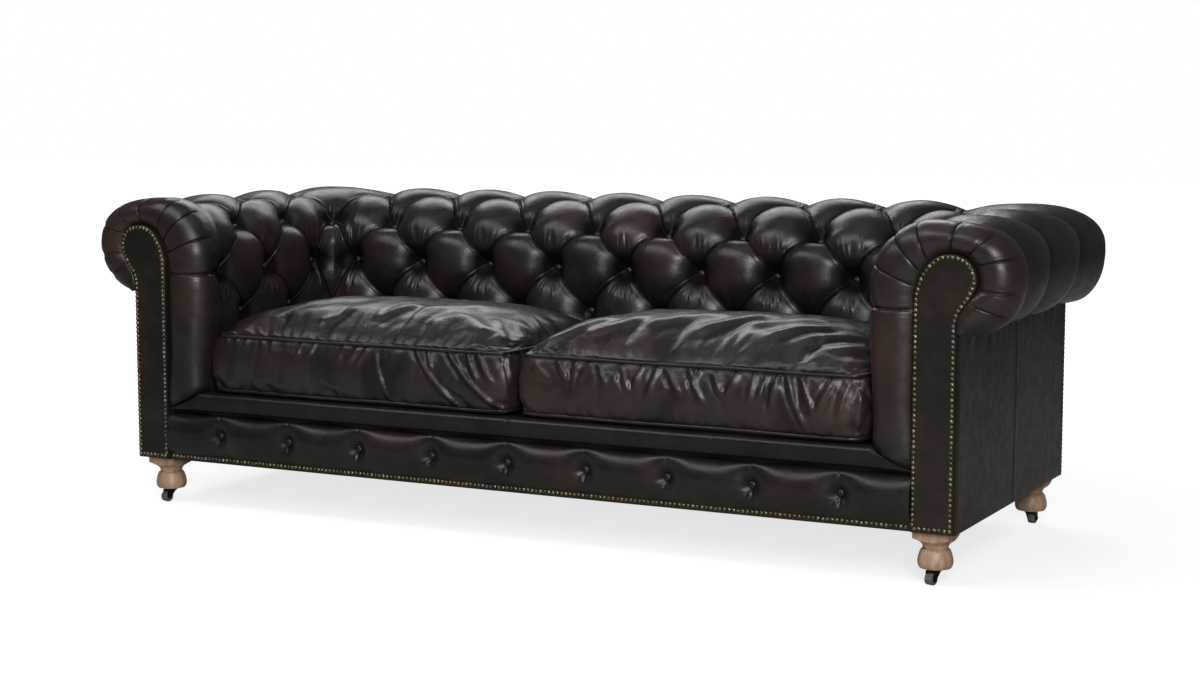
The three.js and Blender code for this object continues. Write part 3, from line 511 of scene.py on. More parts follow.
@dataclass(frozen=True)
class Leather:
    """Dark pull-up leather that goes brown where it is stretched and rubbed.

    The colours are those of its darkest clouds, its lighter ones, its rubbed places, and the painted
    shade laid into its creases, button pits and gaps.
    Heights are real ones, in metres, and the scales of its patterns are waves in a metre.
    """

    name: str
    deep: Colour = (0.0100, 0.0080, 0.0072)
    body: Colour = (0.0200, 0.0138, 0.0108)
    rubbed: Colour = (0.046, 0.0235, 0.0165)
    painted_crease_shade: Colour = (0.0030, 0.0026, 0.0026)
    gloss: float = 0.31
    waves: float = 0.0016
    shine: float = 0.45
    crease_shine: float = 0.08
    pore_depth: float = 0.00025
    pleat_depth: float = 0.0030
    pucker_depth: float = 0.0013
    quilted: bool = False

    def build(self) -> Finish:
        """Makes the material.

        Returns:
            The material.
        """
        graph = Graph(self.name)
        where = graph.places()
        clouds = graph.noise(where, 3.1, 4, 0.55)
        stains = graph.noise(where, 11.0, 5, 0.6)
        colour = graph.mix(graph.spread(clouds, 0.35, 0.66), self.deep, self.body)
        rubbing = graph.math("MULTIPLY", graph.spread(stains, 0.42, 0.72), 0.55)
        worn = graph.math("MULTIPLY", graph.attribute("wear"), graph.spread(stains, 0.3, 0.65, 0.35, 1.0))
        colour = graph.mix(graph.math("MAXIMUM", rubbing, worn), colour, self.rubbed)
        # Painted shade: the crease_and_shade attribute darkens creases, button pits and gaps towards a
        # near-black colour, and dulls their shine below.
        crease_and_shade = graph.attribute("crease_and_shade")
        colour = graph.mix(graph.math("MULTIPLY", crease_and_shade, 0.8), colour, self.painted_crease_shade)
        scuffs = graph.noise(where, 34.0, 4, 0.65)
        roughness = graph.spread(scuffs, 0.3, 0.7, self.gloss - 0.05, self.gloss + 0.09)
        pores = graph.node("TexVoronoi", {"Vector": where, "Scale": 520.0}).outputs["Distance"]
        wrinkles = graph.noise(graph.places((1.0, 1.0, 1.6)), 90.0, 4, 0.6)
        normal = graph.bump(pores, self.pore_depth, 0.5)
        normal = graph.bump(wrinkles, self.waves * 0.26, 0.55, normal)
        normal = graph.bump(graph.noise(where, 22.0, 3, 0.5), self.waves, 0.5, normal)
        if self.quilted:
            normal = self.pleat_lines(graph, normal)
            normal = self.gather_lines(graph, normal)
        return graph.finish(
            Base_Color=colour,
            Roughness=roughness,
            Normal=normal,
            Specular_IOR_Level=graph.spread(crease_and_shade, 0.0, 1.0, self.shine, self.crease_shine),
            Coat_Weight=0.05,
            Coat_Roughness=0.25,
        )

    def pleat_lines(self, graph: Graph, under: Socket) -> Socket:
        """Folded edges of the leather along the pleats, which follow the piece's own map.

        Args:
            graph: The material's nodes.
            under: Normal of the bumps below these.

        Returns:
            The bumped normal.
        """
        lines = graph.node("UVMap", {}, uv_map="pleats").outputs[0]
        apart = graph.node("SeparateXYZ", {0: lines})
        first = graph.math("PINGPONG", apart.outputs[0], 0.5)
        second = graph.math("PINGPONG", apart.outputs[1], 0.5)
        nearest = graph.math("MINIMUM", first, second)
        groove = graph.spread(nearest, 0.0, 0.022)
        ridge = graph.spread(nearest, 0.03, 0.062, 1.0, 0.0)
        height = graph.math("SUBTRACT", graph.math("ADD", groove, graph.math("MULTIPLY", ridge, 0.7)), 1.0)
        height = graph.math("MULTIPLY", height, graph.attribute("lines"))
        return graph.bump(height, self.pleat_depth, 0.8, under)

    def gather_lines(self, graph: Graph, under: Socket) -> Socket:
        """Gathers round the scroll, and the finest puckers at the buttons.

        Args:
            graph: The material's nodes.
            under: Normal of the bumps below these.

        Returns:
            The bumped normal.
        """
        around = graph.math("PINGPONG", graph.attribute("gathers"), 0.5)
        seam = graph.math("SUBTRACT", graph.spread(around, 0.0, 0.05), 1.0)
        lip = graph.math("MULTIPLY", graph.spread(around, 0.06, 0.15, 1.0, 0.0), 0.5)
        radial = graph.math("MULTIPLY", graph.math("ADD", seam, lip), graph.attribute("gathered"))
        normal = graph.bump(radial, self.pleat_depth, 0.8, under)
        waves = graph.math("SINE", graph.attribute("phase"))
        height = graph.math("MULTIPLY", waves, graph.attribute("pucker"))
        return graph.bump(height, self.pucker_depth, 0.8, normal)


@dataclass(frozen=True)
class Brass:
    """Antique brass of the upholstery nails, each head a little different."""

    name: str
    bright: Colour = (0.34, 0.31, 0.18)
    dull: Colour = (0.10, 0.09, 0.052)

    def build(self) -> Finish:
        """Makes the material.

        Returns:
            The material.
        """
        graph = Graph(self.name)
        where = graph.places()
        heads = graph.noise(where, 95.0, 2, 0.5)
        tarnish = graph.noise(where, 700.0, 3, 0.6)
        colour = graph.mix(graph.spread(heads, 0.38, 0.62), self.dull, self.bright)
        colour = graph.mix(graph.spread(tarnish, 0.45, 0.7, 0.0, 0.5), colour, (0.05, 0.042, 0.02))
        roughness = graph.spread(tarnish, 0.3, 0.7, 0.3, 0.5)
        normal = graph.bump(tarnish, 0.0002, 0.4)
        return graph.finish(Base_Color=colour, Metallic=1.0, Roughness=roughness, Normal=normal)


@dataclass(frozen=True)
class Timber:
    """Sawn or turned wood, with its grain along one axis."""

    name: str
    light: Colour
    dark: Colour
    grain: Grain
    gloss: float = 0.7
    depth: float = 0.0005

    def build(self) -> Finish:
        """Makes the material.

        Returns:
            The material.
        """
        graph = Graph(self.name)
        stretch = [1.0, 1.0, 1.0]
        stretch[self.grain.value] = 0.07
        along = graph.places(tuple(stretch))
        bands = graph.noise(along, 48.0, 5, 0.65)
        fibres = graph.noise(along, 420.0, 4, 0.7)
        clouds = graph.noise(graph.places(), 14.0, 3, 0.5)
        colour = graph.mix(graph.spread(bands, 0.32, 0.68), self.dark, self.light)
        shade = tuple(0.62 * value for value in self.dark)
        colour = graph.mix(graph.spread(fibres, 0.52, 0.75, 0.0, 0.6), colour, shade)
        colour = graph.mix(graph.spread(clouds, 0.5, 0.8, 0.0, 0.3), colour, self.dark)
        normal = graph.bump(fibres, self.depth, 0.6)
        roughness = graph.spread(bands, 0.3, 0.7, self.gloss - 0.08, self.gloss + 0.08)
        return graph.finish(Base_Color=colour, Roughness=roughness, Normal=normal)


@dataclass(frozen=True)
class Metal:
    """Blackened metal with a little wear."""

    name: str
    colour: Colour = (0.014, 0.013, 0.012)
    rubbed: Colour = (0.11, 0.105, 0.095)

    def build(self) -> Finish:
        """Makes the material.

        Returns:
            The material.
        """
        graph = Graph(self.name)
        wear = graph.noise(graph.places(), 160.0, 5, 0.65)
        colour = graph.mix(graph.spread(wear, 0.55, 0.75, 0.0, 0.8), self.colour, self.rubbed)
        roughness = graph.spread(wear, 0.3, 0.7, 0.34, 0.55)
        normal = graph.bump(wear, 0.0002, 0.4)
        return graph.finish(Base_Color=colour, Metallic=0.85, Roughness=roughness, Normal=normal)


@dataclass(frozen=True)
class Tread:
    """Grey rubber of the castor wheels, scuffed round the tread."""

    name: str
    clean: Colour = (0.165, 0.155, 0.135)
    scuffed: Colour = (0.06, 0.056, 0.05)

    def build(self) -> Finish:
        """Makes the material.

        Returns:
            The material.
        """
        graph = Graph(self.name)
        scuffs = graph.noise(graph.places(), 240.0, 5, 0.6)
        colour = graph.mix(graph.spread(scuffs, 0.42, 0.66), self.clean, self.scuffed)
        normal = graph.bump(scuffs, 0.0003, 0.5)
        return graph.finish(Base_Color=colour, Roughness=0.6, Normal=normal)


@dataclass(frozen=True)
class Cloth:
    """Plain woven cloth or strap, threads along X and Y."""

    name: str
    colour: Colour
    thread: Colour
    pitch: float

    def build(self) -> Finish:
        """Makes the material.

        Returns:
            The material.
        """
        graph = Graph(self.name)
        where = graph.places()
        inputs = {"Vector": where, "Scale": 0.5 / self.pitch, "Distortion": 0.6}
        threads = [graph.node("TexWave", inputs, bands_direction=way).outputs[1] for way in "XY"]
        weave = graph.math("MULTIPLY", *threads)
        clouds = graph.noise(where, 18.0, 4, 0.6)
        colour = graph.mix(graph.spread(weave, 0.1, 0.8), self.colour, self.thread)
        colour = graph.mix(graph.spread(clouds, 0.5, 0.8, 0.0, 0.35), colour, self.colour)
        normal = graph.bump(weave, self.pitch * 0.3, 0.6)
        return graph.finish(Base_Color=colour, Roughness=0.9, Normal=normal, Sheen_Weight=0.2)


@dataclass(frozen=True)
class FinishBook:
    """Every material on the sofa, made once."""

    tufted: Finish
    plain: Finish
    outside: Finish
    cushion: Finish
    brass: Finish
    oak: Finish
    timbers: tuple[Finish, ...]
    metal: Finish
    tread: Finish
    strap: Finish
    lining: Finish

    @classmethod
    def mixed(cls) -> "FinishBook":
        """Makes all the materials.

        Returns:
            The book of them.
        """
        pine = ((0.52, 0.34, 0.17), (0.36, 0.2, 0.085))
        return cls(
            tufted=Leather("tufted_leather", quilted=True).build(),
            plain=Leather(
                "panel_leather",
                deep=(0.0092, 0.0070, 0.0060),
                body=(0.0180, 0.0116, 0.0088),
                rubbed=(0.040, 0.0205, 0.0145),
                shine=0.36,
            ).build(),
            outside=Leather(
                "outside_leather",
                deep=(0.0150, 0.0110, 0.0090),
                body=(0.0290, 0.0190, 0.0145),
                rubbed=(0.050, 0.0280, 0.0200),
                shine=0.16,
            ).build(),
            cushion=Leather(
                "cushion_leather",
                deep=(0.0115, 0.0095, 0.0092),
                body=(0.0205, 0.0155, 0.0140),
                rubbed=(0.046, 0.0245, 0.018),
                gloss=0.31,
                waves=0.0034,
            ).build(),
            brass=Brass("antique_brass").build(),
            oak=Timber("weathered_oak", (0.60, 0.405, 0.270), (0.36, 0.215, 0.130), Grain.Z, 0.34).build(),
            timbers=tuple(
                Timber(f"frame_timber_{axis.name.lower()}", *pine, axis).build() for axis in Grain
            ),
            metal=Metal("black_metal").build(),
            tread=Tread("castor_tread").build(),
            strap=Cloth("webbing", (0.34, 0.25, 0.14), (0.5, 0.4, 0.25), 0.004).build(),
            lining=Cloth("black_cloth", (0.008, 0.008, 0.009), (0.022, 0.022, 0.024), 0.0016).build(),
        )


@dataclass(frozen=True)
class Scroll:
    """Outline of the right arm's facing, from the foot of its outer edge round the head."""

    outer: float = 1.0507
    inner: float = 0.959
    nail_inset: float = 0.006
    shoulder: float = 0.606
    top: float = 0.693
    bulb: float = 0.0408
    waist: float = 0.552
    foot: float = 0.116
    nail_foot: float = 0.125
    rise_shares: tuple = ((0.16, 0.40), (0.62, 0.90))
    over_shares: tuple = ((1, 0.42), (0.85, 0.88), (0.55, 1), (0.32, 0.88), (0.11, 0.5))
    steps: int = 72

    def nail_line(self) -> Array:
        """Line of the nails: up round the scroll head from its outer waist to its inner shoulder.

        Returns:
            Points, X and Z.
        """
        inner, outer = self.inner + self.nail_inset, self.outer - self.nail_inset
        top, bulb = self.top - self.nail_inset, self.outer - self.nail_inset + self.bulb
        knots = [(outer, self.waist)]
        for across, up in self.rise_shares:
            knots.append((blend(outer, bulb, across), blend(self.waist, self.shoulder, up)))
        for across, up in self.over_shares:
            knots.append((inner + (bulb - inner) * across, self.shoulder + (top - self.shoulder) * up))
        knots.append((inner, self.shoulder))
        return self.curve(np.array(knots))

    def curve(self, knots: Array) -> Array:
        """Smooth centripetal curve through knots.

        Args:
            knots: Points to pass through.

        Returns:
            Points of the curve.
        """
        padded = np.vstack([2 * knots[0] - knots[1], knots, 2 * knots[-1] - knots[-2]])
        result = []
        for step in range(self.steps + 1):
            place = step / self.steps * (len(knots) - 1)
            i = min(int(place), len(knots) - 2)
            share = place - i
            p = padded[i : i + 4]
            gap = [math.sqrt(np.linalg.norm(p[k + 1] - p[k])) for k in range(3)]
            first = (p[1] - p[0]) / gap[0] - (p[2] - p[0]) / (gap[0] + gap[1]) + (p[2] - p[1]) / gap[1]
            second = (p[2] - p[1]) / gap[1] - (p[3] - p[1]) / (gap[1] + gap[2]) + (p[3] - p[2]) / gap[2]
            first, second = first * gap[1], second * gap[1]
            square, cube = share * share, share**3
            result.append(
                p[1]
                + first * share
                + (3 * (p[2] - p[1]) - 2 * first - second) * square
                + (2 * (p[1] - p[2]) + first + second) * cube
            )
        return np.array(result)

    def head(self, distance: float) -> Array:
        """Curved part of the outline, a distance outside the nail line.

        Args:
            distance: How far outside.

        Returns:
            Points, X and Z, from the outer waist to the inner shoulder.
        """
        line = self.nail_line()
        along = np.gradient(line, axis=0)
        along[0] = (0, 1)
        along[-1] = (0, -1)
        along /= np.linalg.norm(along, axis=1)[:, None]
        return line + distance * np.stack([along[:, 1], -along[:, 0]], -1)

    def outline(self, distance: float, foot: float) -> Array:
        """Whole closed outline, a distance outside the nail line, down to a foot's height."""
        head = self.head(distance)
        return np.vstack([(head[-1][0], foot), (head[0][0], foot), head])


@dataclass
class TuftedRoll:
    """The deep buttoned leather of both arms and the back, in one skin.

    A column counts buttons from the middle of the back: 4 is where the corner starts, 5 where the
    arm does, 7.5 where the front cap starts and 8 its end, each with its mirror image below 0. A row
    counts up from the seat: 0 to 3 are the rows of buttons, the last along the crest, 4 is the widest
    place outside and 5 the underside. Angles are in degrees.
    """

    half_length: float = 1.056
    front: float = -0.460
    back: float = 0.346
    arm_inner: float = 0.847
    arm_crest: float = 0.986
    arm_outer: float = 1.153
    back_inner: float = 0.106
    back_crest: float = 0.310
    back_outer: float = 0.4635
    top: float = 0.760
    inner_z: float = 0.610
    outer_z: float = 0.645
    under_z: float = 0.527
    tuck: float = 0.009
    foot: float = 0.2435
    arm_lean: float = 0.021
    back_lean: float = -0.010
    corner_radii: tuple = (0.040, 0.095, 0.150, 0.015)
    pitch: float = BUTTON_PITCH
    arm_corner_insets: tuple = (0.046, 0.301)
    arm_front_insets: tuple = (0.107, 0.148)
    hidden_z: float = 0.45
    lean_height: float = 0.36
    row_counts: tuple = (8, 38, 54, 36, 26)
    column_counts: tuple = ((4, 202), (5, 72), (7, 102), (7.5, 22), (8, 30))
    lowest_row_z: float = 0.25
    row_heights: tuple = (0.470, 0.575)
    row_angles: tuple = (0, 14, 38, 66, 90)
    row_marks: tuple = (1.243, 1.5, 2, 2.5, 3)
    boxy: float = 0.8
    ring_swell: tuple = (0, 0.018, 0.026, 0.024, 0.011)
    arm_bow: float = 0.07
    outer_channel: float = 0.028
    cap_start: float = -0.408
    cap_end: float = -0.463
    cap_turn: float = 140.0
    cap_turn_low: float = 108.0
    mitre_x: tuple = (0.869, 0.9587)
    mitre_z: tuple = (0.2857, 0.2425)
    pleat: float = 0.032
    arm_share: float = 0.66
    channel: float = 0.019
    dimple: tuple = (0.020, 0.027, 0.025, 0.018)
    gather_depth: float = 0.0036
    gather_rows: tuple = (1.0, 1.66, 2.25, 2.70, 3.15, 3.45, 3.8, 4.18, 4.5)
    gather_ends: tuple = (0.045, 0.13, 0.2, 0.378, 0.48, 0.546, 0.67, 0.755)
    pit_radius: float = 0.035
    fan_height: float = 0.0024
    fan_reach: tuple = (
        (0.04, 0.04, 0.5, 0.5),
        (0.082, 0.054, 0.7, 0.8),
        (0.038, 0.045, 0.7, 0.0),
        (0.034, 0.034, 0.6, 0.6),
    )
    pucker_pitch: float = 0.0118
    button_lift: float = 0.0015
    skin_gap: float = 0.0003
    lining_top: float = 0.6543
    lining_row: int = 60
    void: tuple = (0.965, 0.200)
    cap_void: tuple = (0.990, 0.639)
    hem: float = 0.002
    tail_y: float = -0.4205
    scroll: Scroll = field(default_factory=Scroll)

    def __post_init__(self) -> None:
        """Lays out the rows and columns of the skin."""
        counts = self.row_counts
        hidden = np.linspace(self.foot, self.hidden_z, counts[0])[:-1]
        low = np.concatenate([hidden, np.linspace(self.hidden_z, self.inner_z, counts[1])])
        inside = np.linspace(0, 90, counts[2])[1:]
        outside = np.linspace(90, 0, counts[3])[1:]
        under = np.linspace(0, 90, counts[4])[1:]
        step = np.clip((self.inner_z - low) / self.lean_height, 0, None) ** 1.3
        s, c = np.sin, np.cos
        a, o, u = (np.radians(x) for x in (inside, outside, under))
        arm_end, back_end = self.half_length + self.tuck, self.back + self.tuck
        self.z = np.concatenate([
            low,
            self.inner_z + (self.top - self.inner_z) * s(a),
            self.outer_z + (self.top - self.outer_z) * s(o) ** self.boxy,
            self.outer_z - (self.outer_z - self.under_z) * s(u),
        ])
        self.arm = np.concatenate([
            self.arm_inner + self.arm_lean * step,
            self.arm_crest - (self.arm_crest - self.arm_inner) * c(a),
            self.arm_crest + (self.arm_outer - self.arm_crest) * c(o) ** self.boxy,
            arm_end + (self.arm_outer - arm_end) * c(u),
        ])
        self.deep = np.concatenate([
            self.back_inner + self.back_lean * step,
            self.back_crest - (self.back_crest - self.back_inner) * c(a),
            self.back_crest + (self.back_outer - self.back_crest) * c(o) ** self.boxy,
            back_end + (self.back_outer - back_end) * c(u),
        ])
        r = self.corner_radii
        self.radius = np.concatenate([
            np.full(len(low), r[0]),
            blend(r[0], r[1], inside / 90),
            blend(r[1], r[2], 1 - outside / 90),
            blend(r[2], r[3], 1 - c(u)),
        ])
        self.row = np.concatenate([
            np.interp(
                low, [self.lowest_row_z, *self.row_heights, self.inner_z], [-2, 0, 1, self.row_marks[0]]
            ),
            np.interp(inside, self.row_angles, self.row_marks),
            3 + (90 - outside) / 90,
            4 + under / 90,
        ])
        self.spacing = np.interp(self.row, [1, 1.5, 2, 2.5, 3, 4], [0, 0.08, 0.19, 0.355, 0.5, 1])
        self.climb = np.concatenate([[0], np.cumsum(np.hypot(np.diff(self.arm), np.diff(self.z)))])
        half, start = np.zeros(1), 0
        for stop, count in self.column_counts:
            half = np.concatenate([half, np.linspace(start, stop, count)[1:]])
            start = stop
        self.column = np.concatenate([-half[:0:-1], half])
        self.side = np.where(self.column < 0, -1, 1)[:, None]
        self.q = np.abs(self.column)[:, None] + 0 * self.row
        self.r = self.row + 0 * self.q
        self.outside = ease(4.4, 5.2, self.q) * ease(3.1, 3.6, self.r)

    def around(self) -> Array:
        """Skin before it is quilted.

        Returns:
            Columns by rows of points.
        """
        q = np.abs(self.column)[:, None]
        corner_x, corner_y = self.arm - self.radius, self.deep - self.radius
        eighth = self.radius * math.pi / 4
        start = self.deep - blend(*self.arm_corner_insets, self.spacing)
        end = self.front + blend(*self.arm_front_insets, self.spacing)
        back_end = 4 * self.pitch
        run = np.clip(corner_x - back_end, 0, None)
        gone = np.clip(q - 4, 0, 0.5) * 2 * (run + eighth)
        on_back = q <= 4
        turn = np.clip((gone - run) / self.radius, 0, None)
        late = np.clip(corner_y - start, 0, None)
        gone_on = np.clip(q - 4.5, 0, 0.5) * 2 * (late + eighth)
        turn = np.where(q > 4.5, math.pi / 4 + np.minimum(gone_on, eighth) / self.radius, turn)
        beyond = np.clip(q - 5, 0, 2) * (start - end) / 2
        straight = np.clip(gone_on - eighth, 0, None) + beyond
        on_run = ~on_back & (q <= 4.5) & (gone < run)
        x = np.where(on_run, back_end + gone, corner_x + self.radius * np.sin(turn))
        x = np.where(on_back, q * self.pitch, x)
        y = np.where(on_back | on_run, self.deep, corner_y + self.radius * np.cos(turn) - straight)
        before_cap = np.clip(q - 7, 0, 0.5) * 2
        y = np.where(q > 7, blend(end, self.cap_start, before_cap), y)
        x = x + np.interp(self.row, [3, 3.5, 4, 4.5, 5], self.ring_swell) * ease(6.9, 7.5, q)
        z = np.broadcast_to(self.z, x.shape).copy()
        turned = np.radians(blend(self.cap_turn, self.cap_turn_low, ease(4.1, 4.6, self.row)))
        lean = np.clip(q - 7.5, 0, 0.5) * 2 * turned
        inward = (1 - np.cos(lean)) / (1 - np.cos(turned))
        ends = self.ends()
        capped = q > 7.5
        x = np.where(capped, blend(x, ends[:, 0], inward), x)
        z = np.where(capped, blend(z, ends[:, 1], inward), z)
        boxy = blend(0.55, 1, ease(0.28, 0.37, z))
        y = np.where(capped, blend(self.cap_start, self.cap_end, np.sin(lean) ** boxy), y)
        z = np.maximum(z, blend(self.foot, self.mitre(x), ease(7.38, 7.5, q)))
        return np.stack([x * self.side, y, z], -1)

    def mitre(self, x: Array) -> Array:
        """Height of the mitre between the arm's front and the lip, at distances from the middle."""
        down = np.clip((x - self.mitre_x[0]) / (self.mitre_x[1] - self.mitre_x[0]), 0, 1)
        return blend(*self.mitre_z, down)

    def ends(self) -> Array:
        """Where each row meets the outline of the facing.

        Returns:
            X and Z for each row.
        """
        head = self.scroll.head(self.scroll.nail_inset + self.skin_gap)[::-1]
        steps = len(head) - 1
        tail = np.linspace(head[-1], (head[-1][0], self.under_z + 0.003), 6)[1:]
        shares = [0, 0.02, *self.gather_ends, 1 + len(tail) / steps]
        at = np.interp(self.row, [1.215, 1.35, *self.gather_rows[1:], 5], shares) * steps
        head = np.vstack([head, tail])
        x = np.interp(at, np.arange(len(head)), head[:, 0])
        z = np.interp(at, np.arange(len(head)), head[:, 1])
        low = self.row < 1.215
        straight = np.interp(self.row, [1, 1.215], [self.row_heights[1], self.scroll.shoulder])
        x = np.where(low, self.scroll.inner - self.skin_gap, x)
        z = np.where(low, np.where(self.row < 1, self.z, straight), z)
        return np.stack([x, z], -1)

    def quilting(self, skin: Array) -> dict[str, Array]:
        """Depth of the skin below its crowns, and what its material reads.

        Args:
            skin: Skin before it is quilted.

        Returns:
            Arrays over the skin, by name: depth, crown from 0 in the pleats to 1, the two pleat
            coordinates first and second, and the attributes crease_and_shade (painted shade in the pleats,
            gathers, button pits, along the crest and at the mitre), lines, gathers, gathered, pucker and
            phase.
        """
        q, row = self.q, self.r
        first, second = self.pleats()
        crown = self.crowns(first, second)
        width = np.linalg.norm(np.gradient(skin, axis=0), axis=-1) / np.gradient(self.column)[:, None]
        narrow = np.clip(width / 0.19, 0.12, 1) ** 0.6
        soft = blend(1, self.arm_share, ease(4.2, 5.2, q) * ease(3.0, 2.4, row))
        channel = blend(self.channel, self.outer_channel, self.outside)
        deep = blend(self.pleat * soft, channel, ease(2.6, 3.3, row))
        depth = deep * narrow * ease(-2.0, -0.3, row) * (1 - crown)
        pits, fans, pucker, phase = self.buttons_near(width)
        depth = depth + pits * soft * narrow * blend(1, 0.3, ease(2.5, 3, row)) * ease(3.6, 3.1, row) + fans
        gathers, gathered = self.gathering()
        apart = np.abs(gathers - np.round(gathers))
        flutes = gathered * (gathers > 0.3) * (1 - 2 * apart) ** 2
        depth = depth + gathered * self.gather_depth * np.exp(-((apart / 0.08) ** 2)) + 0.0008 * flutes
        uneven = ripple(skin, 0.13, 5) * 0.0008 + ripple(skin, 0.05, 9) * 0.0003
        depth = depth + (uneven + 0.0010) * ease(-2, 0, row) * ease(8.0, 7.8, q)
        # Painted shade: darker in the pleats, the gather seams, the button pits, along the crest and at the
        # mitre with the lip.
        painted_shade = np.clip(1 - crown / 0.45, 0, 1) ** 1.3 * ease(5.0, 4.6, row)
        painted_shade = painted_shade + 0.6 * gathered * np.exp(-((apart / 0.06) ** 2)) + 0.9 * ease(0.006, 0.017, pits)
        painted_shade = painted_shade + 0.3 * ease(2.3, 2.7, row) * ease(3.25, 3.0, row) * ease(4.7, 4.4, q)
        seam = skin[..., 2] - self.mitre(np.abs(skin[..., 0]))
        painted_shade = painted_shade + 0.8 * (q > 7.3) * ease(0.016, 0.002, seam)
        lines = (1 - ease(7.0, 7.1, q) * (row < 3.03)) * ease(-1.5, -0.6, row) * ease(7.9, 7.7, q)
        return {
            "depth": depth, "crown": crown, "first": first, "second": second,
            "crease_and_shade": np.clip(painted_shade, 0, 1), "lines": lines,
            "gathers": gathers, "gathered": gathered, "pucker": pucker, "phase": phase,
        }

    def pleats(self) -> tuple[Array, Array]:
        """The two coordinates of the diamond grid, each a whole number along its own pleats.

        Returns:
            First and second coordinate.
        """
        q, row, side = self.q, self.r, self.side
        lean = (np.clip(row, 0, 3) - 1) / 2
        lap = blend(1, 0.74, ease(3, 3.6, row) * ease(4.4, 5.0, q))
        lapped = np.floor(q) + (q - np.floor(q)) ** lap
        front = side * np.minimum(lapped, np.where(row > 3, 7.5, 99))
        bow = np.interp(row, [-0.2, 0, 1.9, 2.1, 3.0, 3.1], [0, 0.06, 0.06, 0.11, 0.11, 0])
        bow = bow * np.abs(np.sin(math.pi * row)) * ease(4.45, 4.1, q)
        arm_bow = self.arm_bow * np.abs(np.sin(math.pi * row)) * ease(4.9, 5.3, q) * ease(3.05, 2.95, row)
        return front + lean - arm_bow * (side < 0), front - lean + bow + arm_bow * (side > 0)

    def crowns(self, first: Array, second: Array) -> Array:
        """How full the leather stands.

        Args:
            first: First coordinate of the diamond grid.
            second: Its second coordinate.

        Returns:
            From 0 in the pleats to 1.
        """
        q, row = self.q, self.r
        product = np.abs(np.sin(math.pi * first) * np.sin(math.pi * second))
        open_front = ease(7.02, 7.3, q) * (row < 3.02)
        sunk = np.arccos(np.clip(product, 0, 1) ** 0.5) * 2 / math.pi
        rounded = product ** blend(0.38, 0.52, self.outside)
        puffed = blend(1 - sunk**1.8, rounded, ease(2.8, 3.4, row))
        diamond = blend(puffed, 1, open_front)
        stripes = np.abs(np.sin(math.pi * row)) ** 0.45
        level = ease(6.98, 7.06, q) * ease(0.5, 0.8, row) * ease(1.5, 1.3, row)
        level = level * blend(1, 0.3, ease(7.3, 7.6, q)) * ease(7.97, 7.6, q)
        return diamond * blend(1, stripes, level)

    def gathering(self) -> tuple[Array, Array]:
        """Gathers of the front cap, round the scroll.

        Returns:
            Place among the gathers, a whole number in each one's seam, and their strength.
        """
        gathers = np.interp(self.r, [0.6, *self.gather_rows, 4.8], [-0.5, *range(9), 8.5])
        begin = np.interp(gathers, [0.3, 0.7, 4.3, 4.7], [7.06, 7.40, 7.42, 7.54])
        return gathers, ease(0, 0.12, self.q - begin) * ease(8.0, 7.93, self.q)

    def buttons_near(self, width: Array) -> list[Array]:
        """Pit round each button and the short folds that fan out of it.

        Args:
            width: Real width of a column at each point.

        Returns:
            Depth of the pits and of the folds, and strength and phase of the finest puckers.
        """
        q = self.q
        pits, fans, pucker, phase = (np.zeros_like(q) for _ in range(4))
        for level in range(4):
            nearest = np.round(q) if level % 2 else np.floor(q) + 0.5
            height = np.interp(level, self.row, self.climb)
            across, up = (q - nearest) * width, self.climb - height
            away = np.hypot(across, up)
            angle = np.arctan2(up, across)
            allowed = (nearest < 7.1) & ~((nearest == 4.5) & (level != 2))
            seed = np.sin(nearest * 12.9898 + level * 78.233) * 3.0
            pits = pits + allowed * self.dimple[level] * np.exp(-((away / self.pit_radius) ** 2))
            above, below, high, low = self.fan_reach[level]
            reach = np.where(up < 0, below, above)
            ring = allowed * np.exp(-(((away / reach - 1) / 0.26) ** 2)) * np.abs(np.sin(angle)) ** 5
            ring = ring * np.where(up < 0, low, high)
            spokes = np.cos(13 * angle + seed + 1.3 * np.sin(3 * angle + seed))
            fans = fans + (level < 3) * self.fan_height * ring * spokes
            pitch = self.pucker_pitch * (0.45 + 0.55 * away / 0.05)
            waves = across / pitch * 2 * math.pi + seed + 1.4 * np.sin(120 * across + 60 * up + seed)
            phase = np.where(ring > pucker, waves, phase)
            pucker = np.maximum(pucker, ring)
        return [pits, fans, pucker, phase]

    def build(self) -> Piece:
        """Makes the skin and closes it round the frame.

        Returns:
            The piece.
        """
        skin = self.around()
        along, up = np.gradient(skin, axis=0), np.gradient(skin, axis=1)
        outward = np.cross(along, up)
        outward /= np.linalg.norm(outward, axis=-1)[..., None] + 1e-12
        quilt = self.quilting(skin)
        self.surface = skin - outward * quilt["depth"][..., None]
        self.outward = outward
        lining = self.lining()
        loops = np.concatenate([self.surface, lining], axis=1)
        hem, tail = loops[-1] + np.array([0, self.hem, 0]), loops[-1].copy()
        tail[:, 1] = self.tail_y
        edge, mirror = np.stack([hem, tail]), np.array([-1, 1, 1])
        loops = np.concatenate([edge[::-1] * mirror, loops, edge])
        count, size = loops.shape[:2]
        faces = grid_faces(count, size, closed=True)
        faces.append(tuple(range(size)))
        faces.append(tuple(range(count * size - 1, (count - 1) * size - 1, -1)))
        piece = Bench.woven("tufted_arms_and_back", loops, faces)
        Bench.smooth(piece)

        def spread(values: Array) -> Array:
            """Values for every point, from those of the skin."""
            wide = np.concatenate([values, np.zeros((len(values), lining.shape[1]))], axis=1)
            return np.concatenate([wide[:1], wide[:1], wide, wide[-1:], wide[-1:]])

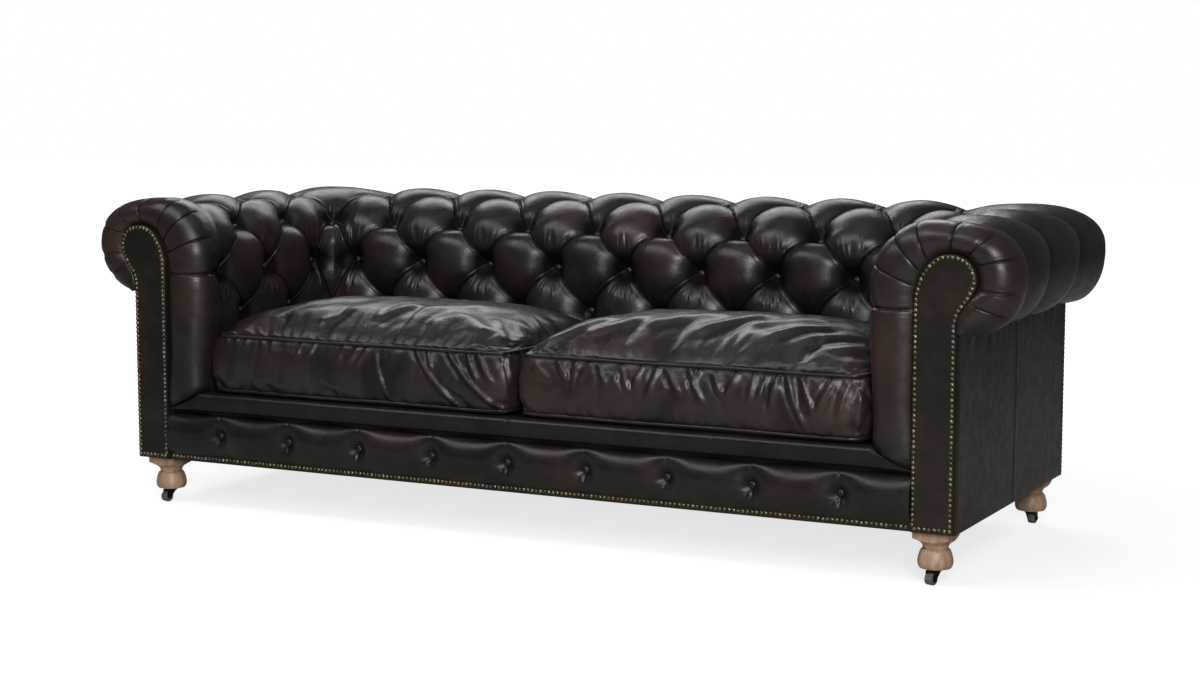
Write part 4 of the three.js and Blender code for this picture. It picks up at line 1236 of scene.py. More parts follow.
        for name in ("crease_and_shade", "lines", "gathers", "gathered", "pucker", "phase"):
            Bench.note(piece, name, spread(quilt[name]))
        worn = (1 - quilt["crease_and_shade"]) * ease(0.3, 1.6, self.row) * ease(5.2, 4.0, self.row)
        worn = worn * (0.4 + 0.6 * quilt["crown"] ** 2)
        worn = np.maximum(worn, 0.8 * ease(7.1, 7.5, np.abs(self.column))[:, None] * (self.row < 3))
        worn = worn * np.clip(0.55 + 0.6 * ripple(skin, 0.3, 21), 0, 1)
        Bench.note(piece, "wear", spread(worn))
        corners = np.empty(len(piece.data.loops), dtype=np.int32)
        piece.data.loops.foreach_get("vertex_index", corners)
        lines = np.stack([spread(quilt[name]).ravel()[corners] for name in ("first", "second")], -1)
        piece.data.uv_layers.new(name="pleats").data.foreach_set("uv", lines.ravel())
        Bench.outward(piece)
        return piece

    def lining(self) -> Array:
        """Hidden side of the padding, round the frame.

        Returns:
            Columns by four points.
        """
        wall_x, wall_y = self.half_length + self.skin_gap, self.back + self.skin_gap
        rows = [
            (wall_x, wall_y, self.under_z),
            (wall_x, wall_y, self.lining_top),
            (*self.void, self.lining_top),
            (*self.void, self.foot),
        ]
        q = np.abs(self.column)
        result = np.zeros((len(q), 4, 3))
        for k, (arm, deep, z) in enumerate(rows):
            share = np.clip((q - 4) / 0.5, 0, 1)
            x = np.where(q <= 4, q * self.pitch, blend(4 * self.pitch, arm, share))
            start = self.surface[np.searchsorted(q[len(q) // 2 :], 5.0) + len(q) // 2, :, 1].mean()
            y = np.where(q <= 4.5, deep, blend(deep, min(start, deep), np.clip((q - 4.5) * 2, 0, 1)))
            board = BOARD_Y - self.skin_gap * (q - 7)
            y = np.where(q > 5, np.maximum(self.surface[:, self.lining_row, 1], board), y)
            capped = (q > 7.67) & (z == self.lining_top)
            x = np.where(capped & (arm == self.void[0]), self.cap_void[0], x)
            height = np.where(capped, self.cap_void[1], z)
            result[:, k] = np.stack([x * self.side[:, 0], y, height], -1)
        return result

    def button_places(self) -> list[Matrix]:
        """Where the covered buttons sit on the skin.

        Returns:
            A place and turn for each, with Z outwards.
        """
        places = []
        for level in range(4):
            i = int(np.argmin(np.abs(self.row - level)))
            for q in np.arange(-7, 7.5, 0.5):
                whole = abs(q - round(q)) < 0.01
                if whole != bool(level % 2) or (abs(q) == 4.5 and level != 2):
                    continue
                j = int(np.argmin(np.abs(self.column - q)))
                normal = Vector(self.outward[j, i])
                turn = normal.to_track_quat("Z", "Y").to_matrix().to_4x4()
                point = Vector(self.surface[j, i]) + normal * self.button_lift
                places.append(Matrix.Translation(point) @ turn)
        return places


@dataclass(frozen=True)
class Dome:
    """A small flattened dome: the cover of a button or the head of a nail."""

    name: str
    radius: float
    height: float
    segments: int
    rings: int
    sunk: float = 0.0

    def build(self) -> Piece:
        """Makes one dome round the origin, its rim on Z = 0.

        Returns:
            The dome.
        """
        Bench.clear()
        bpy.ops.mesh.primitive_uv_sphere_add(
            segments=self.segments, ring_count=self.rings, radius=self.radius
        )
        dome = Bench.started(self.name)
        Bench.edit()
        bpy.ops.mesh.bisect(plane_co=(0, 0, 0), plane_no=(0, 0, 1), clear_inner=True, use_fill=True)
        Bench.leave()
        points = Bench.points(dome)
        points[:, 2] *= self.height / self.radius
        points[:, 2] -= self.sunk * (points[:, 2] < 1e-5)
        Bench.set_points(dome, points)
        return dome


BUTTON = Dome("button", radius=0.0095, height=0.0062, segments=14, rings=8, sunk=0.002)
NAIL_HEAD = Dome("nail_head", radius=0.0047, height=0.0032, segments=8, rings=6)


@dataclass(frozen=True)
class Fold:
    """One fold of slack leather: a raised ridge between two places, given as shares of a face."""

    start: Pair
    end: Pair
    width: float
    height: float

    def relief(self, across: Array, up: Array, size: Pair) -> Array:
        """Height that the fold gives the leather.

        Args:
            across: Share of the face's width at each point.
            up: Share of its height.
            size: Real width and height of the face.

        Returns:
            Height at each point.
        """
        first = np.array(self.start) * size
        last = np.array(self.end) * size
        length = float(np.linalg.norm(last - first))
        way = (last - first) / length
        x, z = across * size[0] - first[0], up * size[1] - first[1]
        along = (x * way[0] + z * way[1]) / length
        aside = x * way[1] - z * way[0] + 0.15 * length * (along - 0.5) ** 2
        body = ease(-0.08, 0.12, along) * ease(1.12, 0.75, along)
        ridge = np.exp(-((aside / self.width) ** 2))
        valley = np.exp(-(((aside - 1.7 * self.width) / self.width) ** 2))
        return 1.45 * self.height * (ridge - 0.55 * valley) * body


@dataclass
class SeatCushion:
    """A loose box cushion in slack leather, with a welt round its top and bottom seams."""

    side: Side
    crown: float
    front_folds: tuple[Fold, ...]
    crown_folds: tuple[Fold, ...]
    inner_x: float = 0.006
    outer_x: float = 0.8520
    front: float = -0.440
    back: float = 0.0915
    bottom: float = 0.2856
    welt: float = 0.427
    draw_in: float = 0.007
    bulge: float = 0.004
    corner_pull: float = 0.014
    cuts: int = 29
    voxel: float = 0.0085
    pressure: float = 4.0
    shrink: float = -0.035
    frames: int = 20
    most: float = 0.013
    cord: float = 0.0042
    cord_points: int = 240
    lower_seam: float = 0.009
    seam_draw: float = 0.003
    seam_widths: Pair = (0.006, 0.005)
    held_reach: Pair = (0.007, 0.016)
    flank_folds: int = 9
    flank_fold: Pair = (0.007, 0.0028)

    @property
    def centre(self) -> Pair:
        """Middle of the cushion in plan."""
        return self.side.value * (self.inner_x + self.outer_x) / 2, (self.front + self.back) / 2

    @property
    def half(self) -> Pair:
        """Half of its width and depth."""
        return (self.outer_x - self.inner_x) / 2, (self.back - self.front) / 2

    def plan(self, u: Array, v: Array, swell: Array | float) -> tuple[Array, Array]:
        """Plan position from shares of the cushion's half width and depth.

        Args:
            u: From -1 to 1 across.
            v: From -1 to 1 front to back.
            swell: How far the sides stand out.

        Returns:
            X and Y.
        """
        pull = self.corner_pull * np.abs(u * v) ** 8
        draw_x = self.draw_in * (1 - v * v) * np.abs(u) ** 3
        draw_y = self.draw_in * (1 - u * u) * np.abs(v) ** 3
        x = np.sign(u) * (np.abs(u) * self.half[0] - pull - draw_x + swell * np.abs(u) ** 20)
        y = np.sign(v) * (np.abs(v) * self.half[1] - pull - draw_y + swell * np.abs(v) ** 20)
        return self.centre[0] + x, self.centre[1] + y

    def blank(self) -> Piece:
        """Makes the cushion before it is filled.

        Returns:
            The piece.
        """
        Bench.clear()
        bpy.ops.mesh.primitive_cube_add(size=2)
        piece = Bench.started(f"{self.side.word}_cushion_leather")
        Bench.edit()
        bpy.ops.mesh.subdivide(number_cuts=self.cuts)
        Bench.leave()
        u, v, h = Bench.points(piece).T
        rise = (np.clip(1 - np.abs(u) ** 3.2, 0, 1) * np.clip(1 - np.abs(v) ** 2.8, 0, 1)) ** 0.62
        x, y = self.plan(u, v, self.bulge * (1 - 2 * h * h) - 0.002)
        side = self.bottom + (self.welt - self.bottom) * (h + 1) / 2
        z = np.where(h > 0.999, self.welt + self.crown * rise, side)
        flat = (h < 0.999) & (h > -0.999) & (np.maximum(np.abs(u), np.abs(v)) < 0.999)
        Bench.set_points(piece, np.stack([x, y, np.where(flat, side, z)], -1))
        return piece

    def fill(self, piece: Piece) -> None:
        """Fills the cushion by cloth simulation, held at its seams and underneath.

        Args:
            piece: The piece.
        """
        Bench.modify(piece, "REMESH", mode="VOXEL", voxel_size=self.voxel)
        start = Bench.points(piece).copy()
        held = piece.vertex_groups.new(name="held")
        x, y, z = start.T
        inward = self.inside(x, y)
        seam = (np.abs(z - self.welt) < self.held_reach[0]) & (inward < self.held_reach[1])
        under = z < self.bottom + 0.006
        held.add(np.nonzero(seam | under)[0].tolist(), 1.0, "REPLACE")
        cloth = piece.modifiers.new("Cloth", "CLOTH")
        settings = cloth.settings
        settings.vertex_group_mass = "held"
        settings.quality = 5
        settings.use_pressure = True
        settings.uniform_pressure_force = self.pressure
        settings.effector_weights.gravity = 0.0
        settings.shrink_min = self.shrink
        settings.tension_stiffness = settings.compression_stiffness = 20
        settings.bending_stiffness = 0.3
        cloth.point_cache.frame_start, cloth.point_cache.frame_end = 1, self.frames
        for number in range(1, self.frames + 1):
            bpy.context.scene.frame_set(number)
        Bench.take(piece)
        bpy.ops.object.modifier_apply(modifier=cloth.name)
        bpy.context.scene.frame_set(1)
        moved = Bench.points(piece) - start
        far = np.linalg.norm(moved, axis=1)
        reach = self.most * np.tanh(far / self.most)
        Bench.set_points(piece, start + moved * (reach / np.maximum(far, 1e-9))[:, None])

    def inside(self, x: Array, y: Array) -> Array:
        """How far places lie inside the cushion's widest plan."""
        across = self.half[0] - np.abs(x - self.centre[0])
        deep = self.half[1] - np.abs(y - self.centre[1])
        return np.minimum(across, deep)

    def crease_and_shade(self, piece: Piece) -> None:
        """Pulls the leather in at its seams, works the folds into it and paints shade along the seams and in
        the folds' valleys.

        Args:
            piece: The piece.
        """
        Bench.modify(piece, "SUBSURF", levels=1, render_levels=1)
        points, normals = Bench.points(piece), Bench.normals(piece)
        x, y, z = points.T
        edge = self.inside(x, y)
        upper = np.exp(-(((z - self.welt) / self.seam_widths[0]) ** 2))
        lower = np.exp(-(((z - self.bottom - self.lower_seam) / self.seam_widths[1]) ** 2))
        near = np.maximum(upper, lower) * ease(0.03, 0.015, edge)
        relief = -self.seam_draw * near
        across = (x - self.centre[0]) / self.half[0] / 2 + 0.5
        size = (2 * self.half[0], self.welt - self.bottom)
        up = (z - self.bottom) / size[1]
        front = ease(-0.5, -0.85, normals[:, 1])
        chance = np.random.default_rng(7 + self.side.value)
        for fold in self.front_folds:
            relief += front * fold.relief(across, up, size)
        flank = ease(0.5, 0.85, np.abs(normals[:, 0]))
        span = (2 * self.half[0], 2 * self.half[1])
        deep = (y - self.front) / span[1]
        for k in range(self.flank_folds):
            place = (k + 0.5 + chance.uniform(-0.3, 0.3)) / self.flank_folds
            lean = chance.uniform(-0.05, 0.05)
            fold = Fold((place, 1.0), (place + lean, chance.uniform(0.35, 0.8)), *self.flank_fold)
            relief += flank * fold.relief(deep, up, (span[1], size[1]))
        above = ease(0.5, 0.8, normals[:, 2]) * (z > self.welt)
        for fold in self.crown_folds:
            relief += above * fold.relief(across, deep, span)
        rumple = ripple(points, 0.16, 31 + self.side.value) * 0.0022 + ripple(points, 0.06, 41) * 0.0008
        relief += rumple * ease(0.0, 0.05, edge + np.abs(z - self.welt))
        relief *= ease(self.bottom, self.bottom + 0.02, z)
        Bench.set_points(piece, points + normals * relief[:, None])
        # Painted shade: darker along the welt seams and in the folds' valleys.
        Bench.note(piece, "crease_and_shade", np.clip(near + np.clip(-relief / 0.004, 0, 0.5), 0, 1))
        corner = ease(0.80, 1.0, np.abs(across - 0.5) * 2) * front
        Bench.note(piece, "wear", np.clip(0.35 + 0.4 * ripple(points, 0.35, 3) + 0.5 * corner, 0, 1))

    def seam(self, piece: Piece, height: float, name: str) -> Piece:
        """Lays a welt cord round the cushion at one of its seams.

        Args:
            piece: The cushion.
            height: Height of the seam.
            name: Name of the cord.

        Returns:
            The cord.
        """
        tree = BVHTree.FromObject(piece, bpy.context.evaluated_depsgraph_get())
        middle = Vector((*self.centre, height))
        path = []
        for k in range(self.cord_points):
            share = k / self.cord_points * 4
            edge, along = int(share), (share - int(share)) * 2 - 1
            u, v = [(along, -1), (1, along), (-along, 1), (-1, -along)][edge]
            soft = (abs(u) ** 14 + abs(v) ** 14) ** (-1 / 14)
            away = Vector((u * soft * self.half[0], v * soft * self.half[1], 0))
            start = middle + away * 1.2
            hit = tree.ray_cast(start, -away.normalized())[0]
            path.append(hit if hit is not None else middle + away)
        route = np.array([tuple(p) for p in path])
        for _ in range(3):
            route = (np.roll(route, 1, 0) + 2 * route + np.roll(route, -1, 0)) / 4
        route[:, 2] = height + 0.0008 * np.sin(np.arange(self.cord_points) * 0.21)
        return cord_loop(name, route, self.cord, 8)

    def build(self) -> list[Piece]:
        """Makes the cushion and its two welts.

        Returns:
            The cushion and the welts.
        """
        piece = self.blank()
        self.fill(piece)
        self.crease_and_shade(piece)
        Bench.smooth(piece)
        upper = self.seam(piece, self.welt, f"{self.side.word}_cushion_top_welt")
        lower = self.seam(piece, self.bottom + self.lower_seam, f"{self.side.word}_cushion_bottom_welt")
        return [piece, upper, lower]


def cord_loop(name: str, route: Array, radius: float, sides: int) -> Piece:
    """Round cord along a closed route.

    Args:
        name: Name of the piece.
        route: Points along its middle, which join up.
        radius: Radius of the cord.
        sides: Sides of its section.

    Returns:
        The piece.
    """
    way = np.roll(route, -1, 0) - np.roll(route, 1, 0)
    way /= np.linalg.norm(way, axis=1)[:, None]
    aside = np.cross(way, np.array([0.0, 0.0, 1.0]))
    size = np.linalg.norm(aside, axis=1)[:, None]
    aside = np.where(size > 0.2, aside / np.maximum(size, 1e-9), np.array([1.0, 0.0, 0.0]))
    over = np.cross(aside, way)
    angle = np.arange(sides) / sides * 2 * math.pi
    ring = aside[:, None] * np.cos(angle)[None, :, None] + over[:, None] * np.sin(angle)[None, :, None]
    loops = route[:, None] + radius * ring
    loops = np.concatenate([loops, loops[:1]])
    piece = Bench.woven(name, loops, grid_faces(len(loops), sides, closed=True))
    Bench.outward(piece)
    Bench.smooth(piece, 80)
    return piece


@dataclass
class FrontBase:
    """Buttoned border below the seat and the rounded lip of the platform above it."""

    half: float = 0.9587
    foot: float = 0.116
    top: float = 0.2412
    edge_y: float = -0.452
    swell: float = 0.0195
    turned: float = 0.044
    turn_z: float = 0.180
    brow_z: float = 0.231
    back_y: float = BOARD_Y
    swell_heights: tuple = (0.116, 0.131, 0.138, 0.150, 0.170, 0.190)
    swell_shares: tuple = (0.0, 0.0, 0.32, 0.66, 0.93, 1.0)
    pitch: float = BUTTON_PITCH
    button_z: float = 0.183
    button_sink: float = 0.0010
    pit: float = 0.0235
    wide_pit: float = 0.038
    tight_pit: float = 0.017
    stitch: float = 0.0020
    fan: float = 0.0016
    fan_reach: float = 0.020
    nail_gap: float = 0.0001
    nail_z: float = 0.125
    nail_half: float = 0.9485
    lip_flat: float = 0.869
    lip_top: float = 0.2852
    lip_front: float = -0.4565
    lip_round: float = 0.011
    lip_under: float = 0.007
    lip_gap: float = 0.0006
    lip_back: float = -0.4195
    lip_seams: tuple = (0.0, 0.508)

    def border(self) -> Piece:
        """Makes the padded border, drawn in at its buttons.

        Returns:
            The piece.
        """
        x = np.linspace(-self.half, self.half, 640)[None, :]
        z = np.concatenate([np.linspace(self.foot, 0.13, 5)[:-1], np.linspace(0.13, self.top, 52)])[:, None]
        tall = np.clip((z - self.turn_z) / (self.brow_z - self.turn_z), 0, 1)
        back = self.turned * (1 - np.sqrt(1 - tall**2))
        swell = np.interp(z, self.swell_heights, self.swell_shares)
        column = x / self.pitch
        across = (column - np.round(column)) * self.pitch
        up = z - self.button_z
        away = np.hypot(across, up * np.where(up > 0, 0.82, 1.0))
        wide, tight = (np.exp(-((away / reach) ** 2)) for reach in (self.wide_pit, self.tight_pit))
        pit = self.pit * (0.6 * wide + 0.4 * tight)
        stitch = np.exp(-((across / 0.0032) ** 2)) * ease(0.240, 0.232, z) * ease(0.133, 0.14, z)
        angle = np.arctan2(up, across)
        seed = np.round(column) * 2.1
        ring = np.exp(-(((away - self.fan_reach) / 0.006) ** 2))
        fans = self.fan * np.cos(9 * angle + seed) * ring * (np.sin(angle) < -0.72)
        points = np.stack([x + 0 * z, 0 * x + 0 * z, z + 0 * x], -1)
        uneven = ripple(points, 0.09, 77) * 0.0007 * ease(0.13, 0.15, z)
        y = self.edge_y - self.swell * swell + pit + self.stitch * stitch + fans + uneven
        y = np.minimum(y + back * (1 - 0.55 * np.exp(-((across / 0.05) ** 2))), self.back_y - 0.003)
        points[..., 1] = y
        piece = closed_relief("border_leather", points, 1, self.back_y)
        # Painted shade: darker in the gap under the lip and in a disc round each button.
        x, _, z = Bench.points(piece).T
        away = np.hypot((x / self.pitch - np.round(x / self.pitch)) * self.pitch, z - self.button_z)
        button_pit_shade = 0.8 * np.exp(-((away / 0.019) ** 2))
        Bench.note(piece, "crease_and_shade", np.maximum(ease(0.227, 0.234, z), button_pit_shade))
        return piece

    def lip(self) -> Piece:
        """Makes the rounded lip, with its two seams and slight waves.

        Returns:
            The piece.
        """
        x = np.linspace(-self.half, self.half, 460)
        r, under = self.lip_round, self.lip_under
        bend = np.radians(np.linspace(0, 90, 12))
        below = np.radians(np.linspace(90, 0, 6))
        y = np.concatenate([
            self.lip_front + under * 1.6 * (1 - np.cos(below)),
            self.lip_front + r * (1 - np.cos(bend)),
            [self.lip_back],
        ])
        z = np.concatenate([
            self.top + self.lip_gap + under * (1 - np.sin(below)),
            self.lip_top - r + r * np.sin(bend),
            [self.lip_top],
        ])
        grid = np.stack([x[None] + 0 * y[:, None], y[:, None] + 0 * x[None], z[:, None] + 0 * x[None]], -1)
        wave = ripple(grid * np.array([1, 0.2, 0.2]), 0.17, 55) * 0.0010
        seams = sum(np.exp(-(((x - place) / 0.003) ** 2)) for place in self.lip_seams)
        inner = ease(0.0, 0.004, grid[..., 2] - self.top)
        inner = inner * ease(self.lip_back, self.lip_back - 0.01, grid[..., 1])
        push = (wave + 0.0022 * seams[None] + 0.0010) * inner
        grid[..., 1] += push
        mitre = 1 - 0.97 * np.clip((np.abs(x) - self.lip_flat) / (self.half - self.lip_flat), 0, 1)
        grid[..., 2] = self.top + (grid[..., 2] - 0.6 * push - self.top) * mitre[None]
        piece = closed_relief("lip_leather", grid, 1, self.lip_back)
        z = Bench.points(piece)[:, 2]
        # Painted shade: darker on the lip's front and underside, below its top rounding.
        Bench.note(piece, "crease_and_shade", 0.45 * ease(0.279, 0.268, z))
        return piece

    def nail_places(self) -> list[Matrix]:
        """Row of nails along the foot of the border."""
        count = round(2 * self.nail_half / NAIL_PITCH)
        xs = np.linspace(-self.nail_half, self.nail_half, count + 1)
        y = self.edge_y - self.nail_gap
        return [Matrix.Translation((x, y, self.nail_z)) @ TO_FRONT for x in xs]

    def button_places(self) -> list[Matrix]:
        """The nine covered buttons of the border."""
        y = self.edge_y - self.swell + self.pit - self.button_sink
        xs = [k * self.pitch for k in range(-4, 5)]
        return [Matrix.Translation((x, y, self.button_z)) @ TO_FRONT for x in xs]


@dataclass
class ArmFront:
    """Padded scroll facing on the front of one arm, with its nails."""

    side: Side
    scroll: Scroll = field(default_factory=Scroll)
    front: float = -0.460
    thickness: float = 0.0187
    edge_depth: float = 0.0035
    padding: tuple = ((0.0019, 0.0009), (0.0012, 0.0018), (0.0006, 0.0026))
    nail_gap: float = 0.0001

    def facing(self) -> Piece:
        """Makes the facing: a board's outline, thickened, bevelled and lightly padded.

        Returns:
            The piece.
        """
        outline = self.scroll.outline(self.scroll.nail_inset, self.scroll.foot)
        outline[:, 0] *= self.side.value
        back = np.full(len(outline), self.front + self.thickness)
        points = np.stack([outline[:, 0], back, outline[:, 1]], -1)
        piece = Bench.woven(f"{self.side.word}_facing_leather", points, [tuple(range(len(points)))])
        Bench.edit()
        bpy.ops.mesh.extrude_region_move(
            TRANSFORM_OT_translate={"value": (0, self.edge_depth - self.thickness, 0)}
        )
        for depth, inset in self.padding:
            bpy.ops.mesh.inset(thickness=inset, depth=0, use_even_offset=True)
            bpy.ops.transform.translate(value=(0, -depth, 0))
        Bench.leave()
        Bench.outward(piece)
        Bench.smooth(piece, 70)
        for face in piece.data.polygons:
            face.use_smooth = len(face.vertices) < 5
        return piece

    def nail_places(self) -> list[Matrix]:
        """Nails up both edges, round the head and along the foot of the facing.

        Returns:
            A place and turn for each, with Z outwards.
        """
        line = self.scroll.nail_line()
        inner, outer = line[-1][0], line[0][0]
        foot = self.scroll.nail_foot
        route = np.vstack([[(outer, foot)], line, [(inner, foot)], [(outer, foot)]])
        gone = np.concatenate([[0], np.cumsum(np.linalg.norm(np.diff(route, axis=0), axis=1))])
        count = round(gone[-1] / NAIL_PITCH)
        y = self.front - self.nail_gap
        places = []
        for k in range(count):
            at = gone[-1] * k / count
            x, z = np.interp(at, gone, route[:, 0]), np.interp(at, gone, route[:, 1])
            places.append(Matrix.Translation((self.side.value * x, y, z)) @ TO_FRONT)
        return places


@dataclass
class OutsidePanels:
    """Leather stretched over the outside of the arms and the back."""

    half: float = 1.056
    back: float = 0.346
    front: float = -0.452
    foot: float = 0.116
    top: float = 0.545
    thickness: float = 0.005
    edge_gap: float = 0.0053
    gather_depth: float = 0.0011
    gather_pitch: float = 0.045
    padding: float = 0.0007
    seam_depth: float = 0.0022
    seam_width: float = 0.0022
    side_seam: float = -0.055
    back_seams: tuple[float, ...] = (-0.352, 0.352)
    nails: Pair = (0.1265, 0.5165)
    nail_y: float = 0.3362
    nail_sink: float = 0.0003

    def stretched(self, along: Array, up: Array, seams: Sequence[float], seed: int) -> Array:
        """Relief of a stretched panel: gathers under the roll, seams and slight padding.

        Args:
            along: Place along the panel.
            up: Height.
            seams: Places of its vertical seams.
            seed: Picks the pattern of the gathers.

        Returns:
            How far each point stands out.
        """
        points = np.stack([along + 0 * up, 0 * along + 0 * up, up + 0 * along], -1)
        wide = points * np.array([1.0, 1.0, 0.1])
        gathers = ripple(wide, self.gather_pitch, seed) * self.gather_depth * ease(0.46, 0.53, up)
        relief = 0.0006 + (gathers + ripple(points, 0.3, seed + 1) * self.padding)
        for seam in seams:
            off = np.abs(along - seam)
            groove = self.seam_depth * np.exp(-((off / self.seam_width) ** 2))
            relief = relief - groove + 0.0008 * np.exp(-(((off - 0.006) / 0.005) ** 2))
        margin = np.minimum(along - along.min(), along.max() - along)
        return (relief + 0.0012) * ease(0, 0.008, margin) * ease(self.foot, self.foot + 0.01, up) - 0.001

    def arm(self, side: Side) -> Piece:
        """Makes one outside arm panel.

        Args:
            side: Which end of the sofa.

        Returns:
            The piece.
        """
        y = np.linspace(self.front, self.back - self.edge_gap, 300)[None, :]
        z = np.linspace(self.foot, self.top, 60)[:, None]
        out = self.stretched(y, z, (self.side_seam,), 11 + side.value)
        x = side.value * (self.half + out)
        grid = np.stack([x, y + 0 * z, z + 0 * y], -1)
        return closed_relief(f"{side.word}_side_leather", grid, 0, side.value * (self.half - self.thickness))

    def rear(self) -> Piece:
        """Makes the outside back panel.

        Returns:
            The piece.
        """
        x = np.linspace(-self.half, self.half, 520)[None, :]
        z = np.linspace(self.foot, self.top, 60)[:, None]
        out = self.stretched(x, z, self.back_seams, 19)
        grid = np.stack([x + 0 * z, self.back + out, z + 0 * x], -1)
        return closed_relief("rear_leather", grid, 1, self.back - self.thickness)

    def nail_places(self, side: Side) -> list[Matrix]:
        """Row of nails down the rear edge of one side."""
        count = 1 + round((self.nails[1] - self.nails[0]) / NAIL_PITCH)
        turn = Matrix.Rotation(side.value * math.pi / 2, 4, "Y")
        x = side.value * (self.half - self.nail_sink)
        return [Matrix.Translation((x, self.nail_y, z)) @ turn for z in np.linspace(*self.nails, count)]


@dataclass
class Platform:
    """Padded seat platform under the cushions."""

    half: float = 0.8798
    front: float = -0.4193
    back: float = 0.0957
    bottom: float = 0.2468
    top: float = 0.2848
    corner: float = 0.044
    quilts: Pair = (0.11, 0.105)
    puff: float = 0.003
    sunk: float = 0.0035

    def build(self) -> Piece:
        """Makes the platform, lightly quilted by the springs under it.

        Returns:
            The piece.
        """
        columns, rows = 176, 56
        u = np.linspace(-1, 1, columns)[None, :]
        v = np.linspace(0, 1, rows)[:, None]
        y = blend(self.front, self.back, v)
        over = np.clip(y - (self.back - self.corner), 0, None)
        inset = self.corner - np.sqrt(np.clip(self.corner**2 - over**2, 0, None))
        x = u * (self.half - inset)
        rim = ease(0, 0.02, self.half - inset - np.abs(x)) * ease(0, 0.02, self.back - y)
        wave = np.sin(x / self.quilts[0] * math.pi) * np.sin((y - self.front) / self.quilts[1] * math.pi)
        z = self.top - self.sunk + self.puff * np.abs(wave) ** 0.5 * rim - self.puff * (1 - rim)
        grid = np.stack([x, y + 0 * x, z + 0 * x], -1)
        return closed_relief("platform_leather", grid, 2, self.bottom)


@dataclass
class Foot:
    """A turned oak foot: square block, curved shoulder, neck and bun."""

    block: float = 0.078
    top: float = 0.1157
    shoulder: Pair = (0.058, 0.1015)
    neck: Pair = (0.026, 0.079)
    bun: Pair = (0.0375, 0.050)
    sole: Pair = (0.024, 0.033)
    beads: tuple[Pair, ...] = ((-0.0012, -0.0028), (-0.0015, -0.0012), (0.0008, 0.0))
    axis: float = 0.0001
    edge: float = 0.0022
    blank_z: float = 0.07
    blank_height: float = 0.1
    merge: float = 2.5e-4
    segments: int = 64

    def profile(self) -> list[Pair]:
        """Turned profile from the sole up.

        Returns:
            Radius and height of each point.
        """
        sole, bun, neck, shoulder = self.sole, self.bun, self.neck, self.shoulder
        points = [(self.axis, sole[1]), (sole[0] - 0.001, sole[1]), (sole[0], sole[1] + 0.001)]
        for angle in np.radians(np.linspace(-62, 0, 9)[1:]):
            radius = sole[0] + (bun[0] - sole[0]) * math.cos(angle) ** 0.8
            points.append((radius, bun[1] + (bun[1] - sole[1]) * math.sin(angle) * 1.06))
        for share in np.linspace(0, 1, 12)[1:]:
            radius = blend(bun[0], neck[0] + 0.002, share**1.35)
            height = blend(bun[1], neck[1] - 0.0035, math.sin(share * math.pi / 2) ** 1.15)
            points.append((radius, height))
        points += [(neck[0] + out, neck[1] + up) for out, up in self.beads]
        for share in np.linspace(0, 1, 12)[1:]:
            radius = blend(neck[0] + self.beads[-1][0], shoulder[0], share**1.55)
            points.append((radius, blend(neck[1], shoulder[1], share**0.72)))
        points += [(shoulder[0], self.top), (self.axis, self.top)]
        return points

    def build(self, name: str, x: float, y: float) -> Piece:
        """Turns the foot and squares its block.

        Args:
            name: Name of the piece.
            x: Place of its middle.
            y: Place of its middle.

        Returns:
            The foot.
        """
        profile = np.array([(radius, 0.0, z) for radius, z in self.profile()])
        foot = Bench.spun(name, profile, self.segments, "Z", closed=False)
        Bench.edit()
        bpy.ops.mesh.remove_doubles(threshold=self.merge)
        bpy.ops.mesh.normals_make_consistent(inside=False)
        Bench.leave()
        Bench.clear()
        bpy.ops.mesh.primitive_cube_add(
            size=1, location=(0, 0, self.blank_z), scale=(self.block, self.block, self.blank_height)
        )
        block = Bench.started("block")
        Bench.modify(block, "BEVEL", width=self.edge, segments=3)
        Bench.take(foot)
        cut = foot.modifiers.new("Square", "BOOLEAN")
        cut.operation, cut.object, cut.solver = "INTERSECT", block, "EXACT"
        bpy.ops.object.modifier_apply(modifier=cut.name)
        bpy.data.objects.remove(block)
        Bench.set_points(foot, Bench.points(foot) + np.array([x, y, 0.0]))
        Bench.outward(foot)
        Bench.smooth(foot, 32)
        return foot


@dataclass
class CastorWheel:
    """Wheel of a small castor: rubber tread with a groove beside each edge, round a hub."""

    radius: float = 0.013
    width: float = 0.017
    bore: float = 0.0027
    hub: Pair = (0.0052, 0.0098)
    groove: Pair = (0.0060, 0.0092)
    groove_depth: float = 0.0009
    rounding: tuple[Pair, ...] = ((0.0016, 0.0), (0.0005, 0.0006), (0.0, 0.0018))
    front_heading: float = -18
    rear_heading: float = 176
    segments: int = 40

    def build(self, name: str, centre: Vector, heading: float) -> Piece:
        """Turns the wheel about its axle.

        Args:
            name: Name of the piece.
            centre: Middle of the wheel.
            heading: Turn of the castor about Z, in degrees.

        Returns:
            The wheel.
        """
        half, r = self.width / 2, self.radius
        flank = [
            (self.bore, half), (self.hub[0], half),
            (self.groove[0], half - self.groove_depth), (self.groove[1], half - self.groove_depth),
            (self.hub[1], half), *((r - down, half - back) for down, back in self.rounding),
        ]
        section = [(radius, -x) for radius, x in flank] + flank[::-1]
        profile = np.array([(x, 0.0, radius) for radius, x in section])
        wheel = Bench.spun(name, profile, self.segments, "X", closed=True)
        turn = Matrix.Translation(centre) @ Matrix.Rotation(math.radians(heading), 4, "Z")
        wheel.data.transform(turn)
        Bench.outward(wheel)
        Bench.smooth(wheel, 35)
        return wheel


